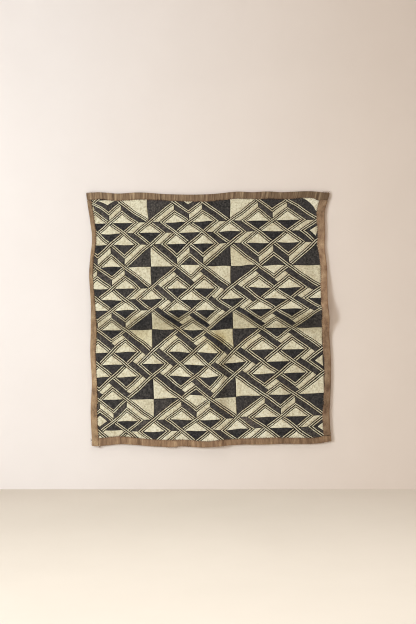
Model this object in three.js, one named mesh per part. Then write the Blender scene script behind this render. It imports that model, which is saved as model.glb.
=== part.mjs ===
// Kuba raffia cloth: a square cut-pile panel, hung against a wall from its top edge,
// with four strips of brown raffia folded over its edges as a binding.
// Millimetres, +Z up, +X to the right as seen from the front, the front faces -Y.
// Y = 0 is the plane of the wall, and the origin is the middle of the top edge.
import * as THREE from "three";

// ---- driving sizes ---------------------------------------------------------
const WIDTH = 564; // between the mean left and right outer edges
const HEIGHT = 598; // between the mean top and bottom outer edges
const PANEL_THICK = 2.4; // woven ground with its cut pile
const LEAF_THICK = 1.2; // one leaf of a folded binding strip
const GAP = 0.3; // between the panel and the binding round it
const NOSE = 1.4; // thickness of the binding at its fold
const END_GAP = 0.6; // between the end of one strip and the side of the next
const COLUMNS = 28; // panel facets across, between the bindings
const ROWS = 30; // panel facets down, between the bindings

// Uneven outer edges. "at" is the place along the edge from 0 to 1, left to right
// or top to bottom, "out" is how far the edge stands outside the mean rectangle,
// and "width" is the visible width of the binding there.
const TOP_EDGE = [
  { at: 0.0, out: -1, width: 16.5 },
  { at: 0.05, out: 1.5, width: 17 },
  { at: 0.13, out: -1.5, width: 17.2 },
  { at: 0.22, out: 1, width: 16.8 },
  { at: 0.34, out: -3.2, width: 15.8 },
  { at: 0.5, out: -3.4, width: 17 },
  { at: 0.62, out: 3, width: 16.4 },
  { at: 0.68, out: 1.8, width: 16.2 },
  { at: 0.75, out: 3.4, width: 17 },
  { at: 0.8, out: 1.7, width: 16.5 },
  { at: 0.92, out: 3.9, width: 16 },
  { at: 1.0, out: -0.5, width: 17 },
];
const BOTTOM_EDGE = [
  { at: 0.0, out: 0.4, width: 19 },
  { at: 0.04, out: 0.4, width: 19 },
  { at: 0.12, out: -3.8, width: 18.4 },
  { at: 0.19, out: -1.6, width: 17.2 },
  { at: 0.26, out: 1.5, width: 16.4 },
  { at: 0.335, out: 2.7, width: 15.8 },
  { at: 0.378, out: 1.2, width: 16.4 },
  { at: 0.465, out: 3.6, width: 14.8 },
  { at: 0.54, out: 0.3, width: 14.8 },
  { at: 0.62, out: -2.7, width: 14.4 },
  { at: 0.7, out: -2.8, width: 15.6 },
  { at: 0.8, out: -4.6, width: 15 },
  { at: 0.86, out: -4.2, width: 14.8 },
  { at: 0.94, out: -5.2, width: 14.5 },
  { at: 1.0, out: -11.0, width: 15 },
];
const LEFT_EDGE = [
  { at: 0.0, out: 10.8, width: 11 },
  { at: 0.05, out: 7.0, width: 9.8 },
  { at: 0.11, out: 1.4, width: 10.2 },
  { at: 0.18, out: -3.3, width: 9.8 },
  { at: 0.25, out: 0.5, width: 8.8 },
  { at: 0.32, out: 3.5, width: 9.3 },
  { at: 0.39, out: 1.0, width: 8.6 },
  { at: 0.46, out: -1.4, width: 10.6 },
  { at: 0.54, out: -0.4, width: 13.6 },
  { at: 0.63, out: 1.0, width: 12.8 },
  { at: 0.75, out: -2.6, width: 11.8 },
  { at: 0.81, out: -1.2, width: 14.8 },
  { at: 0.87, out: 0.2, width: 15.4 },
  { at: 1.0, out: -3.3, width: 16.5 },
];
const RIGHT_EDGE = [
  { at: 0.0, out: 0.8, width: 19 },
  { at: 0.03, out: -3.6, width: 19.6 },
  { at: 0.075, out: -10.6, width: 19.2 },
  { at: 0.17, out: -9.6, width: 18 },
  { at: 0.21, out: -11.0, width: 16.6 },
  { at: 0.26, out: -8.0, width: 15 },
  { at: 0.3, out: -5.4, width: 15.8 },
  { at: 0.37, out: -5.2, width: 16 },
  { at: 0.45, out: -4.2, width: 16 },
  { at: 0.51, out: -1.2, width: 17.4 },
  { at: 0.57, out: 0.2, width: 17.6 },
  { at: 0.66, out: 3.6, width: 16.6 },
  { at: 0.74, out: 3.8, width: 15.4 },
  { at: 0.82, out: 2.6, width: 15.6 },
  { at: 0.9, out: 0.8, width: 16.4 },
  { at: 1.0, out: 5.2, width: 17.5 },
];

// Old folds, each a soft ridge towards the viewer. A fold runs from "from" to "to",
// both across (u) and down (v) the cloth, and rises to "start", "middle" and "end" mm
// along its length. "near" and "far" are how wide its flanks are, in mm: near is the
// flank above or to the left of the line, far the other one.
const FOLDS = [
  { name: "middle fold", from: { u: -0.1, v: 0.492 }, to: { u: 1.1, v: 0.497 }, start: 5.0, middle: 6.0, end: 15.5, near: 125, far: 54 },
  { name: "upright fold, top", from: { u: 0.5, v: -0.1 }, to: { u: 0.505, v: 0.46 }, start: 1.0, middle: 2.2, end: 3.2, near: 60, far: 30 },
  { name: "upright fold, bottom", from: { u: 0.515, v: 0.53 }, to: { u: 0.535, v: 1.1 }, start: 5.5, middle: 6.0, end: 4.0, near: 95, far: 34 },
  { name: "second upright fold", from: { u: 0.795, v: 0.6 }, to: { u: 0.8, v: 0.95 }, start: 2.0, middle: 3.0, end: 2.0, near: 70, far: 32 },
];
// Slack in the cloth between what holds it, as round swells.
const SWELLS = [
  { name: "lower right edge", u: 1.0, v: 0.86, rise: 0.9, across: 120, down: 160 },
  { name: "bottom hem", u: 0.42, v: 1.02, rise: 2.2, across: 190, down: 90 },
  { name: "left edge", u: -0.02, v: 0.3, rise: 3.0, across: 70, down: 110 },
  { name: "upper right edge", u: 1.0, v: 0.25, rise: 0.9, across: 80, down: 120 },
  { name: "upper left", u: 0.27, v: 0.24, rise: 2.0, across: 110, down: 90 },
  { name: "lower left", u: 0.2, v: 0.76, rise: 2.4, across: 120, down: 100 },
  { name: "right of centre", u: 0.76, v: 0.72, rise: 2.0, across: 90, down: 90 },
];
const STAND_OFF = 3.5; // from the wall to the middle of the cloth, where it lies flat

// ---- the cloth's surface ---------------------------------------------------
// A smooth value from a table, by a cubic through its rows.
function along(table, key, t) {
  const n = table.length;
  const s = Math.min(1, Math.max(0, t));
  let k = 0;
  while (k < n - 2 && s > table[k + 1].at) k++;
  const a = table[k], b = table[k + 1];
  const h = b.at - a.at, f = (s - a.at) / h;
  const slope = (i) => {
    const p = table[Math.max(0, i - 1)], q = table[Math.min(n - 1, i + 1)];
    return (q[key] - p[key]) / (q.at - p.at);
  };
  const f2 = f * f, f3 = f2 * f;
  return (
    (2 * f3 - 3 * f2 + 1) * a[key] + (f3 - 2 * f2 + f) * h * slope(k) +
    (3 * f2 - 2 * f3) * b[key] + (f3 - f2) * h * slope(k + 1)
  );
}

const CORNER = {
  tl: [-WIDTH / 2 - LEFT_EDGE[0].out, TOP_EDGE[0].out],
  tr: [WIDTH / 2 + RIGHT_EDGE[0].out, TOP_EDGE.at(-1).out],
  bl: [-WIDTH / 2 - LEFT_EDGE.at(-1).out, -HEIGHT - BOTTOM_EDGE[0].out],
  br: [WIDTH / 2 + RIGHT_EDGE.at(-1).out, -HEIGHT - BOTTOM_EDGE.at(-1).out],
};
const mix = (a, b, t) => a + (b - a) * t;

const edgeTop = (u) => [mix(CORNER.tl[0], CORNER.tr[0], u), along(TOP_EDGE, "out", u)];
const edgeBottom = (u) => [mix(CORNER.bl[0], CORNER.br[0], u), -HEIGHT - along(BOTTOM_EDGE, "out", u)];
const edgeLeft = (v) => [-WIDTH / 2 - along(LEFT_EDGE, "out", v), mix(CORNER.tl[1], CORNER.bl[1], v)];
const edgeRight = (v) => [WIDTH / 2 + along(RIGHT_EDGE, "out", v), mix(CORNER.tr[1], CORNER.br[1], v)];

// Where (u, v) of the cloth lies as seen from the front: a patch between its four edges.
function face(u, v) {
  const t = edgeTop(u), b = edgeBottom(u), l = edgeLeft(v), r = edgeRight(v);
  return [0, 1].map(
    (k) =>
      mix(t[k], b[k], v) + mix(l[k], r[k], u) -
      mix(mix(CORNER.tl[k], CORNER.tr[k], u), mix(CORNER.bl[k], CORNER.br[k], u), v),
  );
}

// One flank of a fold, 1 on its line and 0 at its foot, round at both.
function flank(t) {
  if (t >= 1) return 0;
  const round = 0.22; // share of the flank that is rounded at the ridge
  const tip = Math.sqrt(t * t + round * round) - round;
  const s = Math.max(0, 1 - tip / (Math.sqrt(1 + round * round) - round));
  return s * s * (1.6 - 0.6 * s);
}

function depth(u, v) {
  let ridge = 0;
  for (const f of FOLDS) {
    const ax = f.from.u * WIDTH, ay = f.from.v * HEIGHT;
    const bx = f.to.u * WIDTH - ax, by = f.to.v * HEIGHT - ay;
    const long = Math.hypot(bx, by);
    const px = u * WIDTH - ax, py = v * HEIGHT - ay;
    const t = (px * bx + py * by) / (long * long);
    const off = (bx * py - by * px) / long;
    const level = Math.abs(bx) > Math.abs(by);
    const far = level ? off > 0 : off < 0; // below a level fold, right of an upright one
    const end = 45 / long; // folds fade over 45 mm past their ends
    const fade = Math.min(1, Math.max(0, Math.min((t + end) / end, (1 + end - t) / end)));
    const s = Math.min(1, Math.max(0, t)) * 2;
    const rise = s < 1 ? mix(f.start, f.middle, s) : mix(f.middle, f.end, (s - 1) * (s - 1) * 0.5 + (s - 1) * 0.5);
    const height = rise * flank(Math.abs(off) / (far ? f.far : f.near)) * fade * fade * (3 - 2 * fade);
    ridge += height * height * height; // crossing folds share their height
  }
  let d = STAND_OFF + Math.cbrt(ridge);
  for (const s of SWELLS) {
    const a = ((u - s.u) * WIDTH) / s.across, b = ((v - s.v) * HEIGHT) / s.down;
    d += s.rise * Math.exp(-(a * a + b * b));
  }
  return d;
}

// A point of the cloth, "lift" mm towards the viewer from its middle.
function point(u, v, lift) {
  const [x, z] = face(u, v);
  return new THREE.Vector3(x, -(depth(u, v) + lift), z);
}

// ---- stations shared by the panel and the strips round it ------------------
const EDGE_A = NOSE + GAP; // where the panel ends inside the fold
const wide = (v) => edgeRight(v)[0] - edgeLeft(v)[0];
const tall = (u) => edgeTop(u)[1] - edgeBottom(u)[1];
const strip = {
  left: (v) => along(LEFT_EDGE, "width", v),
  right: (v) => along(RIGHT_EDGE, "width", v),
  top: (u) => along(TOP_EDGE, "width", u),
  bottom: (u) => along(BOTTOM_EDGE, "width", u),
};
const nominalU = [], nominalV = [];
for (let i = 0; i <= COLUMNS + 4; i++) nominalU.push(stationU(i, 0.5));
for (let j = 0; j <= ROWS + 4; j++) nominalV.push(stationV(j, 0.5));

function stationU(i, v) {
  const W = wide(v), l = strip.left(v), r = strip.right(v);
  if (i < 2) return (i ? l / 2 : EDGE_A) / W;
  if (i > COLUMNS + 2) return 1 - (i === COLUMNS + 3 ? r / 2 : EDGE_A) / W;
  return mix(l / W, 1 - r / W, (i - 2) / COLUMNS);
}
function stationV(j, u) {
  const H = tall(u), t = strip.top(u), b = strip.bottom(u);
  if (j < 2) return (j ? t / 2 : EDGE_A) / H;
  if (j > ROWS + 2) return 1 - (j === ROWS + 3 ? b / 2 : EDGE_A) / H;
  return mix(t / H, 1 - b / H, (j - 2) / ROWS);
}
// Place (u, v) of the panel's grid point, on the stations of the strip that covers it.
const LAST_I = COLUMNS + 4, LAST_J = ROWS + 4;
function gridPlace(i, j) {
  const top = j <= 2, bottom = j >= LAST_J - 2, left = i <= 2, right = i >= LAST_I - 2;
  if (top || (bottom && !left)) {
    const u = stationU(i, top ? 0 : 1);
    return [u, stationV(j, u)];
  }
  if (left || right) {
    const v = stationV(j, left ? 0 : 1);
    return [stationU(i, v), v];
  }
  return [stationU(i, nominalV[j]), stationV(j, nominalU[i])];
}
const placesU = (v) => nominalU.map((_, i) => stationU(i, v));
const placesV = (u) => nominalV.map((_, j) => stationV(j, u));

// ---- solids ----------------------------------------------------------------
// Collects points and faces, and gives a closed geometry.
class Body {
  points = [];
  index = [];
  add(p) {
    return this.points.push(p) - 1;
  }
  quad(a, b, c, d) {
    this.index.push(a, b, c, a, c, d);
  }
  geometry() {
    const g = new THREE.BufferGeometry().setFromPoints(this.points);
    g.setIndex(this.index);
    g.computeVertexNormals();
    return g;
  }
}

function panelGeometry() {
  const body = new Body();
  const NI = LAST_I, NJ = LAST_J, half = PANEL_THICK / 2;
  const layer = (lift) => {
    const ids = [];
    for (let j = 0; j <= NJ; j++) {
      ids.push([]);
      for (let i = 0; i <= NI; i++)
        ids[j].push(body.add(point(...gridPlace(i, j), lift)));
    }
    return ids;
  };
  const front = layer(half), back = layer(-half);
  for (let j = 0; j < NJ; j++)
    for (let i = 0; i < NI; i++) {
      body.quad(front[j][i], front[j + 1][i], front[j + 1][i + 1], front[j][i + 1]);
      body.quad(back[j][i], back[j][i + 1], back[j + 1][i + 1], back[j + 1][i]);
    }
  for (let i = 0; i < NI; i++) {
    body.quad(front[0][i], front[0][i + 1], back[0][i + 1], back[0][i]);
    body.quad(front[NJ][i + 1], front[NJ][i], back[NJ][i], back[NJ][i + 1]);
  }
  for (let j = 0; j < NJ; j++) {
    body.quad(front[j + 1][0], front[j][0], back[j][0], back[j + 1][0]);
    body.quad(front[j][NI], front[j + 1][NI], back[j + 1][NI], back[j][NI]);
  }
  return body.geometry();
}

// A strip folded over an edge. "stations" are places along the edge, and
// place(s, a, lift) is the point "a" mm in from the edge there. The section runs
// from the front leaf's free edge, round the fold, to the back leaf's.
function stripGeometry(stations, widthAt, place, flip) {
  const body = new Body();
  const inner = PANEL_THICK / 2 + GAP, outer = inner + LEAF_THICK;
  const rings = stations.map((s) => {
    const w = widthAt(s);
    const out = [[w, outer], [w / 2, outer], [0.9, outer * 0.86], [0, 0], [0.9, -outer * 0.86], [w / 2, -outer], [w, -outer]];
    const inn = [[w, inner], [w / 2, inner], [NOSE, inner], [NOSE, 0], [NOSE, -inner], [w / 2, -inner], [w, -inner]];
    return [out, inn].map((path) => path.map(([a, lift]) => body.add(place(s, a, lift))));
  });
  const quad = (a, b, c, d) => (flip ? body.quad(d, c, b, a) : body.quad(a, b, c, d));
  const n = rings[0][0].length - 1;
  for (let k = 0; k + 1 < rings.length; k++) {
    const [o0, i0] = rings[k], [o1, i1] = rings[k + 1];
    for (let m = 0; m < n; m++) {
      quad(o0[m], o0[m + 1], o1[m + 1], o1[m]);
      quad(i0[m + 1], i0[m], i1[m], i1[m + 1]);
    }
    quad(i0[0], o0[0], o1[0], i1[0]);
    quad(o0[n], i0[n], i1[n], o1[n]);
  }
  const cap = ([o, i], far) => {
    for (let m = 0; m < n; m++)
      if (far) quad(o[m], o[m + 1], i[m + 1], i[m]);
      else quad(i[m], i[m + 1], o[m + 1], o[m]);
  };
  cap(rings[0], false);
  cap(rings.at(-1), true);
  return body.geometry();
}

const topGeometry = () =>
  stripGeometry([0, ...placesU(0), 1], strip.top, (u, a, lift) => point(u, a / tall(u), lift), true);

const leftGeometry = () => {
  const start = (strip.top(0) + END_GAP) / tall(0);
  const stations = [start, ...placesV(0).filter((v) => v > start + 0.01), 1];
  return stripGeometry(stations, strip.left, (v, a, lift) => point(a / wide(v), v, lift), false);
};

const bottomGeometry = () => {
  const start = (strip.left(1) + END_GAP) / wide(1);
  const stations = [start, ...placesU(1).filter((u) => u > start + 0.01), 1];
  return stripGeometry(stations, strip.bottom, (u, a, lift) => point(u, 1 - a / tall(u), lift), false);
};

const rightGeometry = () => {
  const start = (strip.top(1) + END_GAP) / tall(1), end = 1 - (strip.bottom(1) + END_GAP) / tall(1);
  const stations = [start, ...placesV(1).filter((v) => v > start + 0.01 && v < end - 0.01), end];
  return stripGeometry(stations, strip.right, (v, a, lift) => point(1 - a / wide(v), v, lift), true);
};

// ---- the object ------------------------------------------------------------
const pile = new THREE.MeshStandardMaterial({ color: 0x6f6a5c, roughness: 0.95, metalness: 0 });
const raffia = new THREE.MeshStandardMaterial({ color: 0x86684f, roughness: 0.9, metalness: 0 });

const cloth = new THREE.Group();
for (const [name, geometry, material] of [
  ["panel", panelGeometry(), pile],
  ["binding_top", topGeometry(), raffia],
  ["binding_bottom", bottomGeometry(), raffia],
  ["binding_left", leftGeometry(), raffia],
  ["binding_right", rightGeometry(), raffia],
]) {
  const mesh = new THREE.Mesh(geometry, material);
  mesh.name = name;
  cloth.add(mesh);
}

export default cloth;
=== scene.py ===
import math

import bpy
import numpy as np
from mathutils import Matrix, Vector


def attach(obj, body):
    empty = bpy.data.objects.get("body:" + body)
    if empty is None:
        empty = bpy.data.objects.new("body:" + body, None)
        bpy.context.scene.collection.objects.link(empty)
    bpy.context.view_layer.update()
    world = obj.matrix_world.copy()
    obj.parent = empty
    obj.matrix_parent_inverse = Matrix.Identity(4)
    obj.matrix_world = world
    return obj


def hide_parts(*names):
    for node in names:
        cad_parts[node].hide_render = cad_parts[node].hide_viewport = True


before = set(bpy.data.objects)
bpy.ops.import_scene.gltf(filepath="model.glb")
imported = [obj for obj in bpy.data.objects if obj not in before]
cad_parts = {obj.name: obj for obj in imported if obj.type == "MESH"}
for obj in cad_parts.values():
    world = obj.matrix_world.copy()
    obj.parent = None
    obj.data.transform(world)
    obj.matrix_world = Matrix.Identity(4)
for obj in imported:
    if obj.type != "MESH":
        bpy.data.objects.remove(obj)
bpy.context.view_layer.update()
MM = 0.001
rng = np.random.default_rng(11)

# =====================================================================
# The cloth's surface: the same edges and folds as the solids, in mm.
# =====================================================================
WIDTH, HEIGHT, STAND_OFF = 564.0, 598.0, 3.5

# at: place along the edge, out: how far it stands outside the mean
# rectangle, width: the binding's visible width there
TOP_EDGE = np.array([
    (0.0, -1, 16.5), (0.05, 1.5, 17), (0.13, -1.5, 17.2), (0.22, 1, 16.8), (0.34, -3.2, 15.8),
    (0.5, -3.4, 17), (0.62, 3, 16.4), (0.68, 1.8, 16.2), (0.75, 3.4, 17), (0.8, 1.7, 16.5),
    (0.92, 3.9, 16), (1.0, -0.5, 17)])
BOTTOM_EDGE = np.array([
    (0.0, 0.4, 19), (0.04, 0.4, 19), (0.12, -3.8, 18.4), (0.19, -1.6, 17.2), (0.26, 1.5, 16.4),
    (0.335, 2.7, 15.8), (0.378, 1.2, 16.4), (0.465, 3.6, 14.8), (0.54, 0.3, 14.8), (0.62, -2.7, 14.4),
    (0.7, -2.8, 15.6), (0.8, -4.6, 15), (0.86, -4.2, 14.8), (0.94, -5.2, 14.5), (1.0, -11.0, 15)])
LEFT_EDGE = np.array([
    (0.0, 10.8, 11), (0.05, 7.0, 9.8), (0.11, 1.4, 10.2), (0.18, -3.3, 9.8), (0.25, 0.5, 8.8),
    (0.32, 3.5, 9.3), (0.39, 1.0, 8.6), (0.46, -1.4, 10.6), (0.54, -0.4, 13.6), (0.63, 1.0, 12.8),
    (0.75, -2.6, 11.8), (0.81, -1.2, 14.8), (0.87, 0.2, 15.4), (1.0, -3.3, 16.5)])
RIGHT_EDGE = np.array([
    (0.0, 0.8, 19), (0.03, -3.6, 19.6), (0.075, -10.6, 19.2), (0.17, -9.6, 18), (0.21, -11.0, 16.6),
    (0.26, -8.0, 15), (0.3, -5.4, 15.8), (0.37, -5.2, 16), (0.45, -4.2, 16), (0.51, -1.2, 17.4),
    (0.57, 0.2, 17.6), (0.66, 3.6, 16.6), (0.74, 3.8, 15.4), (0.82, 2.6, 15.6), (0.9, 0.8, 16.4),
    (1.0, 5.2, 17.5)])
OUT, WIDE = 1, 2

# from u, v, to u, v, rise at start, middle and end, near flank, far flank
FOLDS = [
    (-0.1, 0.492, 1.1, 0.497, 5.0, 6.0, 15.5, 125, 54),
    (0.5, -0.1, 0.505, 0.46, 1.0, 2.2, 3.2, 60, 30),
    (0.515, 0.53, 0.535, 1.1, 5.5, 6.0, 4.0, 95, 34),
    (0.795, 0.6, 0.8, 0.95, 2.0, 3.0, 2.0, 70, 32),
]
# u, v, rise, across, down
SWELLS = [
    (1.0, 0.86, 0.9, 120, 160), (0.42, 1.02, 2.2, 190, 90), (-0.02, 0.3, 3.0, 70, 110),
    (1.0, 0.25, 0.9, 80, 120), (0.27, 0.24, 2.0, 110, 90), (0.2, 0.76, 2.4, 120, 100),
    (0.76, 0.72, 2.0, 90, 90),
]


def mix(a, b, t):
    return a + (b - a) * t


def along(table, key, t):
    """A smooth value from a table, by a cubic through its rows."""
    at, val = table[:, 0], table[:, key]
    n = len(at)
    t = np.clip(t, at[0], at[-1])
    k = np.clip(np.searchsorted(at, t, side="left") - 1, 0, n - 2)
    lo, hi = np.maximum(np.arange(n) - 1, 0), np.minimum(np.arange(n) + 1, n - 1)
    slope = (val[hi] - val[lo]) / (at[hi] - at[lo])
    h = at[k + 1] - at[k]
    f = (t - at[k]) / h
    f2, f3 = f * f, f * f * f
    return ((2 * f3 - 3 * f2 + 1) * val[k] + (f3 - 2 * f2 + f) * h * slope[k]
            + (3 * f2 - 2 * f3) * val[k + 1] + (f3 - f2) * h * slope[k + 1])


TL = (-WIDTH / 2 - LEFT_EDGE[0, 1], TOP_EDGE[0, 1])
TR = (WIDTH / 2 + RIGHT_EDGE[0, 1], TOP_EDGE[-1, 1])
BL = (-WIDTH / 2 - LEFT_EDGE[-1, 1], -HEIGHT - BOTTOM_EDGE[0, 1])
BR = (WIDTH / 2 + RIGHT_EDGE[-1, 1], -HEIGHT - BOTTOM_EDGE[-1, 1])


def edge_top(u):
    return mix(TL[0], TR[0], u), along(TOP_EDGE, OUT, u)


def edge_bottom(u):
    return mix(BL[0], BR[0], u), -HEIGHT - along(BOTTOM_EDGE, OUT, u)


def edge_left(v):
    return -WIDTH / 2 - along(LEFT_EDGE, OUT, v), mix(TL[1], BL[1], v)


def edge_right(v):
    return WIDTH / 2 + along(RIGHT_EDGE, OUT, v), mix(TR[1], BR[1], v)


def face(u, v):
    t, b, l, r = edge_top(u), edge_bottom(u), edge_left(v), edge_right(v)
    return tuple(
        mix(t[k], b[k], v) + mix(l[k], r[k], u)
        - mix(mix(TL[k], TR[k], u), mix(BL[k], BR[k], u), v) for k in (0, 1))


def flank(t):
    rnd = 0.22
    tip = np.sqrt(t * t + rnd * rnd) - rnd
    s = np.maximum(0, 1 - tip / (math.sqrt(1 + rnd * rnd) - rnd))
    return np.where(t >= 1, 0.0, s * s * (1.6 - 0.6 * s))


def depth(u, v):
    ridge = np.zeros_like(u)
    for u0, v0, u1, v1, start, middle, end_rise, near, far in FOLDS:
        ax, ay = u0 * WIDTH, v0 * HEIGHT
        bx, by = u1 * WIDTH - ax, v1 * HEIGHT - ay
        long = math.hypot(bx, by)
        px, py = u * WIDTH - ax, v * HEIGHT - ay
        t = (px * bx + py * by) / (long * long)
        off = (bx * py - by * px) / long
        is_far = off > 0 if abs(bx) > abs(by) else off < 0
        end = 45 / long
        fade = np.clip(np.minimum((t + end) / end, (1 + end - t) / end), 0, 1)
        s = np.clip(t, 0, 1) * 2
        rise = np.where(s < 1, mix(start, middle, s),
                        mix(middle, end_rise, (s - 1) ** 2 * 0.5 + (s - 1) * 0.5))
        height = rise * flank(np.abs(off) / np.where(is_far, far, near)) * fade * fade * (3 - 2 * fade)
        ridge += height ** 3
    d = STAND_OFF + np.cbrt(ridge)
    for u0, v0, rise, across, down in SWELLS:
        d = d + rise * np.exp(-(((u - u0) * WIDTH / across) ** 2 + ((v - v0) * HEIGHT / down) ** 2))
    return d


def wide(v):
    return edge_right(v)[0] - edge_left(v)[0]


def tall(u):
    return edge_top(u)[1] - edge_bottom(u)[1]


def uv_at(x, z):
    u, v = x / WIDTH + 0.5, -z / HEIGHT
    for _ in range(7):
        fx, fz = face(u, v)
        u = u + (x - fx) / WIDTH
        v = v + (fz - z) / HEIGHT
    return u, v


def margin(u, v):
    """How far inside the binding's inner edge a place is, in mm."""
    w, h = wide(v), tall(u)
    return np.minimum(
        np.minimum(u * w - along(LEFT_EDGE, WIDE, v), (1 - u) * w - along(RIGHT_EDGE, WIDE, v)),
        np.minimum(v * h - along(TOP_EDGE, WIDE, u), (1 - v) * h - along(BOTTOM_EDGE, WIDE, u)))


def smooth(a, b, t):
    s = np.clip((t - a) / (b - a), 0, 1)
    return s * s * (3 - 2 * s)


def waves(seed, count, short, long):
    """A smooth uneven field over the cloth, about -1 to 1."""
    r = np.random.default_rng(seed)
    angle, size, phase = r.uniform(0, 2 * np.pi, count), r.uniform(short, long, count), r.uniform(0, 6.3, count)
    kx, kz = np.cos(angle) * 2 * np.pi / size, np.sin(angle) * 2 * np.pi / size

    def field(x, z):
        out = np.zeros_like(x)
        for a, b, c in zip(kx, kz, phase):
            out += np.sin(a * x + b * z + c)
        return out / math.sqrt(count)
    return field


# Creases pressed into the old folds, and small puckers: from u, v, to u, v,
# rise at start, middle and end, near flank, far flank
CREASES = [
    (-0.1, 0.487, 0.34, 0.491, 1.2, 2.2, 2.0, 34, 20),
    (0.34, 0.491, 0.62, 0.489, 2.0, 2.8, 2.4, 40, 20),
    (0.62, 0.489, 1.1, 0.497, 2.4, 3.0, 4.2, 46, 26),
    (0.506, 0.03, 0.512, 0.46, 0.6, 1.2, 1.6, 22, 12),
    (0.521, 0.53, 0.54, 0.72, 2.0, 3.0, 2.6, 36, 15),
    (0.54, 0.72, 0.536, 1.05, 2.6, 2.0, 1.2, 30, 16),
    (0.80, 0.62, 0.805, 0.93, 0.6, 1.3, 0.8, 26, 14),
    (0.25, 0.50, 0.33, 0.58, 0.8, 1.2, 0.6, 22, 14),
    (0.66, 0.51, 0.72, 0.60, 0.8, 1.4, 0.6, 24, 14),
    (0.02, 0.17, 0.16, 0.2, 1.2, 0.9, 0.4, 26, 18),
    (0.86, 0.3, 1.0, 0.36, 0.5, 1.0, 1.4, 26, 18),
]


def creases(u, v):
    total = np.zeros_like(u)
    for u0, v0, u1, v1, start, middle, end_rise, near, far in CREASES:
        ax, ay = u0 * WIDTH, v0 * HEIGHT
        bx, by = u1 * WIDTH - ax, v1 * HEIGHT - ay
        long = math.hypot(bx, by)
        px, py = u * WIDTH - ax, v * HEIGHT - ay
        t = (px * bx + py * by) / (long * long)
        off = (bx * py - by * px) / long
        is_far = off > 0 if abs(bx) > abs(by) else off < 0
        end = 18 / long
        fade = np.clip(np.minimum((t + end) / end, (1 + end - t) / end), 0, 1)
        s = np.clip(t, 0, 1) * 2
        rise = np.where(s < 1, mix(start, middle, s), mix(middle, end_rise, s - 1))
        total += (rise * flank(np.abs(off) / np.where(is_far, far, near)) * fade * fade * (3 - 2 * fade)) ** 3
    return np.cbrt(total)


SLACK = waves(3, 6, 45, 110)
PATCHY_FIELD = waves(9, 7, 55, 170)
# Soiled places, and painted shade along the creases, just below the middle fold and faintly at the top right: x, z,
# strength, across, down
STAINS_AND_CREASE_SHADE = [
    (25, -342, 0.32, 14, 14), (-75, -296, 0.28, 34, 16), (44, -294, 0.18, 26, 14), (150, -60, 0.05, 150, 80), (150, -318, 0.35, 70, 12),
    (-180, -322, 0.25, 60, 14), (48, -375, 0.25, 20, 50), (30, -470, 0.2, 16, 60), (235, -308, 0.4, 30, 26), (-60, -372, 0.2, 34, 30),
    (-7, -105, 0.14, 20, 70), (170, -476, 0.2, 26, 22), (-110, -157, 0.22, 30, 26), (73, -155, 0.12, 30, 26), (-165, -345, 0.32, 28, 20),
    (-116, -468, 0.12, 30, 24), (40, -416, 0.3, 22, 20), (-11, -55, 0.2, 14, 40), (-11, -138, 0.25, 12, 30),
    (95, -525, -0.3, 50, 40), (-132, -558, -0.35, 50, 26), (-235, -563, -0.35, 40, 20),
    (-245, -164, 0.18, 30, 40), (-19, -183, 0.12, 26, 20), (38, -258, 0.12, 22, 18), (151, -32, 0.2, 30, 20), (264, -409, 0.14, 24, 20),
    (151, -418, 0.1, 30, 28), (-19, -560, 0.12, 26, 18), (151, -296, -0.15, 28, 18), (-245, -296, -0.12, 25, 18),
    (205, -430, 0.1, 60, 90), (40, -580, -0.3, 140, 18), (-140, -580, -0.3, 60, 16),
    (250, -18, -0.25, 24, 18), (-47, -384, 0.12, 22, 26), (-47, -545, 0.14, 22, 18), (54, -254, 0.14, 20, 18), (12, -321, -0.22, 20, 14),
    (-252, -505, -0.2, 22, 18),
]


# Yellowed places: x, z, strength, across, down
YELLOWS = [(20, -346, 1.0, 26, 24), (-165, -343, 0.45, 30, 26), (70, -150, 0.25, 40, 30), (-100, -330, 0.3, 60, 24), (60, -345, 0.3, 60, 40)]


def yellow(x, z):
    return np.clip(sum(by * np.exp(-((x - x0) / across) ** 2 - ((z - z0) / down) ** 2) for x0, z0, by, across, down in YELLOWS), 0, 1)


def soil_and_fold_shade(x, z):
    """Old grime here and there, and painted shade of the folds: a darker band below the middle fold, a darker line
    along it and the creases' shade among the stains, 0 to 1.
    """
    u, v = uv_at(x, z)
    below = (v - 0.483) * HEIGHT - 11 * (1 - smooth(-240, -120, x))
    # painted shade: a darker band just below the middle fold, weaker at the far left
    s = 0.37 * (0.5 + 0.5 * smooth(-260, -150, x)) * smooth(-9, 5, below) * (1 - smooth(20, 48, below)) * (1 + 0.35 * PATCHY_FIELD(x, z * 0.3))
    # painted shade: a darker line along the middle fold
    s = s + 0.15 * np.exp(-((below - 6) / 7) ** 2)
    s = s + 0.09 * np.maximum(0, PATCHY_FIELD(z, x))
    for x0, z0, strength, across, down in STAINS_AND_CREASE_SHADE:
        s = s + strength * np.exp(-((x - x0) / across) ** 2 - ((z - z0) / down) ** 2)
    return np.clip(s, 0, 1)


LUMPS = waves(4, 10, 9, 26)


def rubbed(x, z):
    """Where the stitched bands are worn dull, 0 to 1: along the middle fold."""
    u, v = uv_at(x, z)
    below = (v - 0.483) * HEIGHT - 8 * (1 - smooth(-240, -120, x))
    s = smooth(-14, 2, below) * (1 - smooth(14, 42, below)) * (0.6 + 0.45 * PATCHY_FIELD(x * 1.3, z))
    s = s + 0.7 * np.exp(-((x - 12) / 36) ** 2 - ((z + 333) / 26) ** 2)
    return np.clip(s, 0, 1)


def place(x, z, lift, under=True):
    """Points of the cloth in metres, lift mm in front of its middle."""
    u, v = uv_at(x, z)
    if under:  # the pile is pressed flat where the binding covers it
        m = margin(u, v)
        lift = np.minimum(lift, mix(0.25, np.maximum(lift, 0.25), smooth(-2.0, 3.5, m)))
    y = -(depth(u, v) + creases(u, v) + lift + 0.25 * SLACK(x, z))
    return np.stack([x, y, z], -1) * MM


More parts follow.
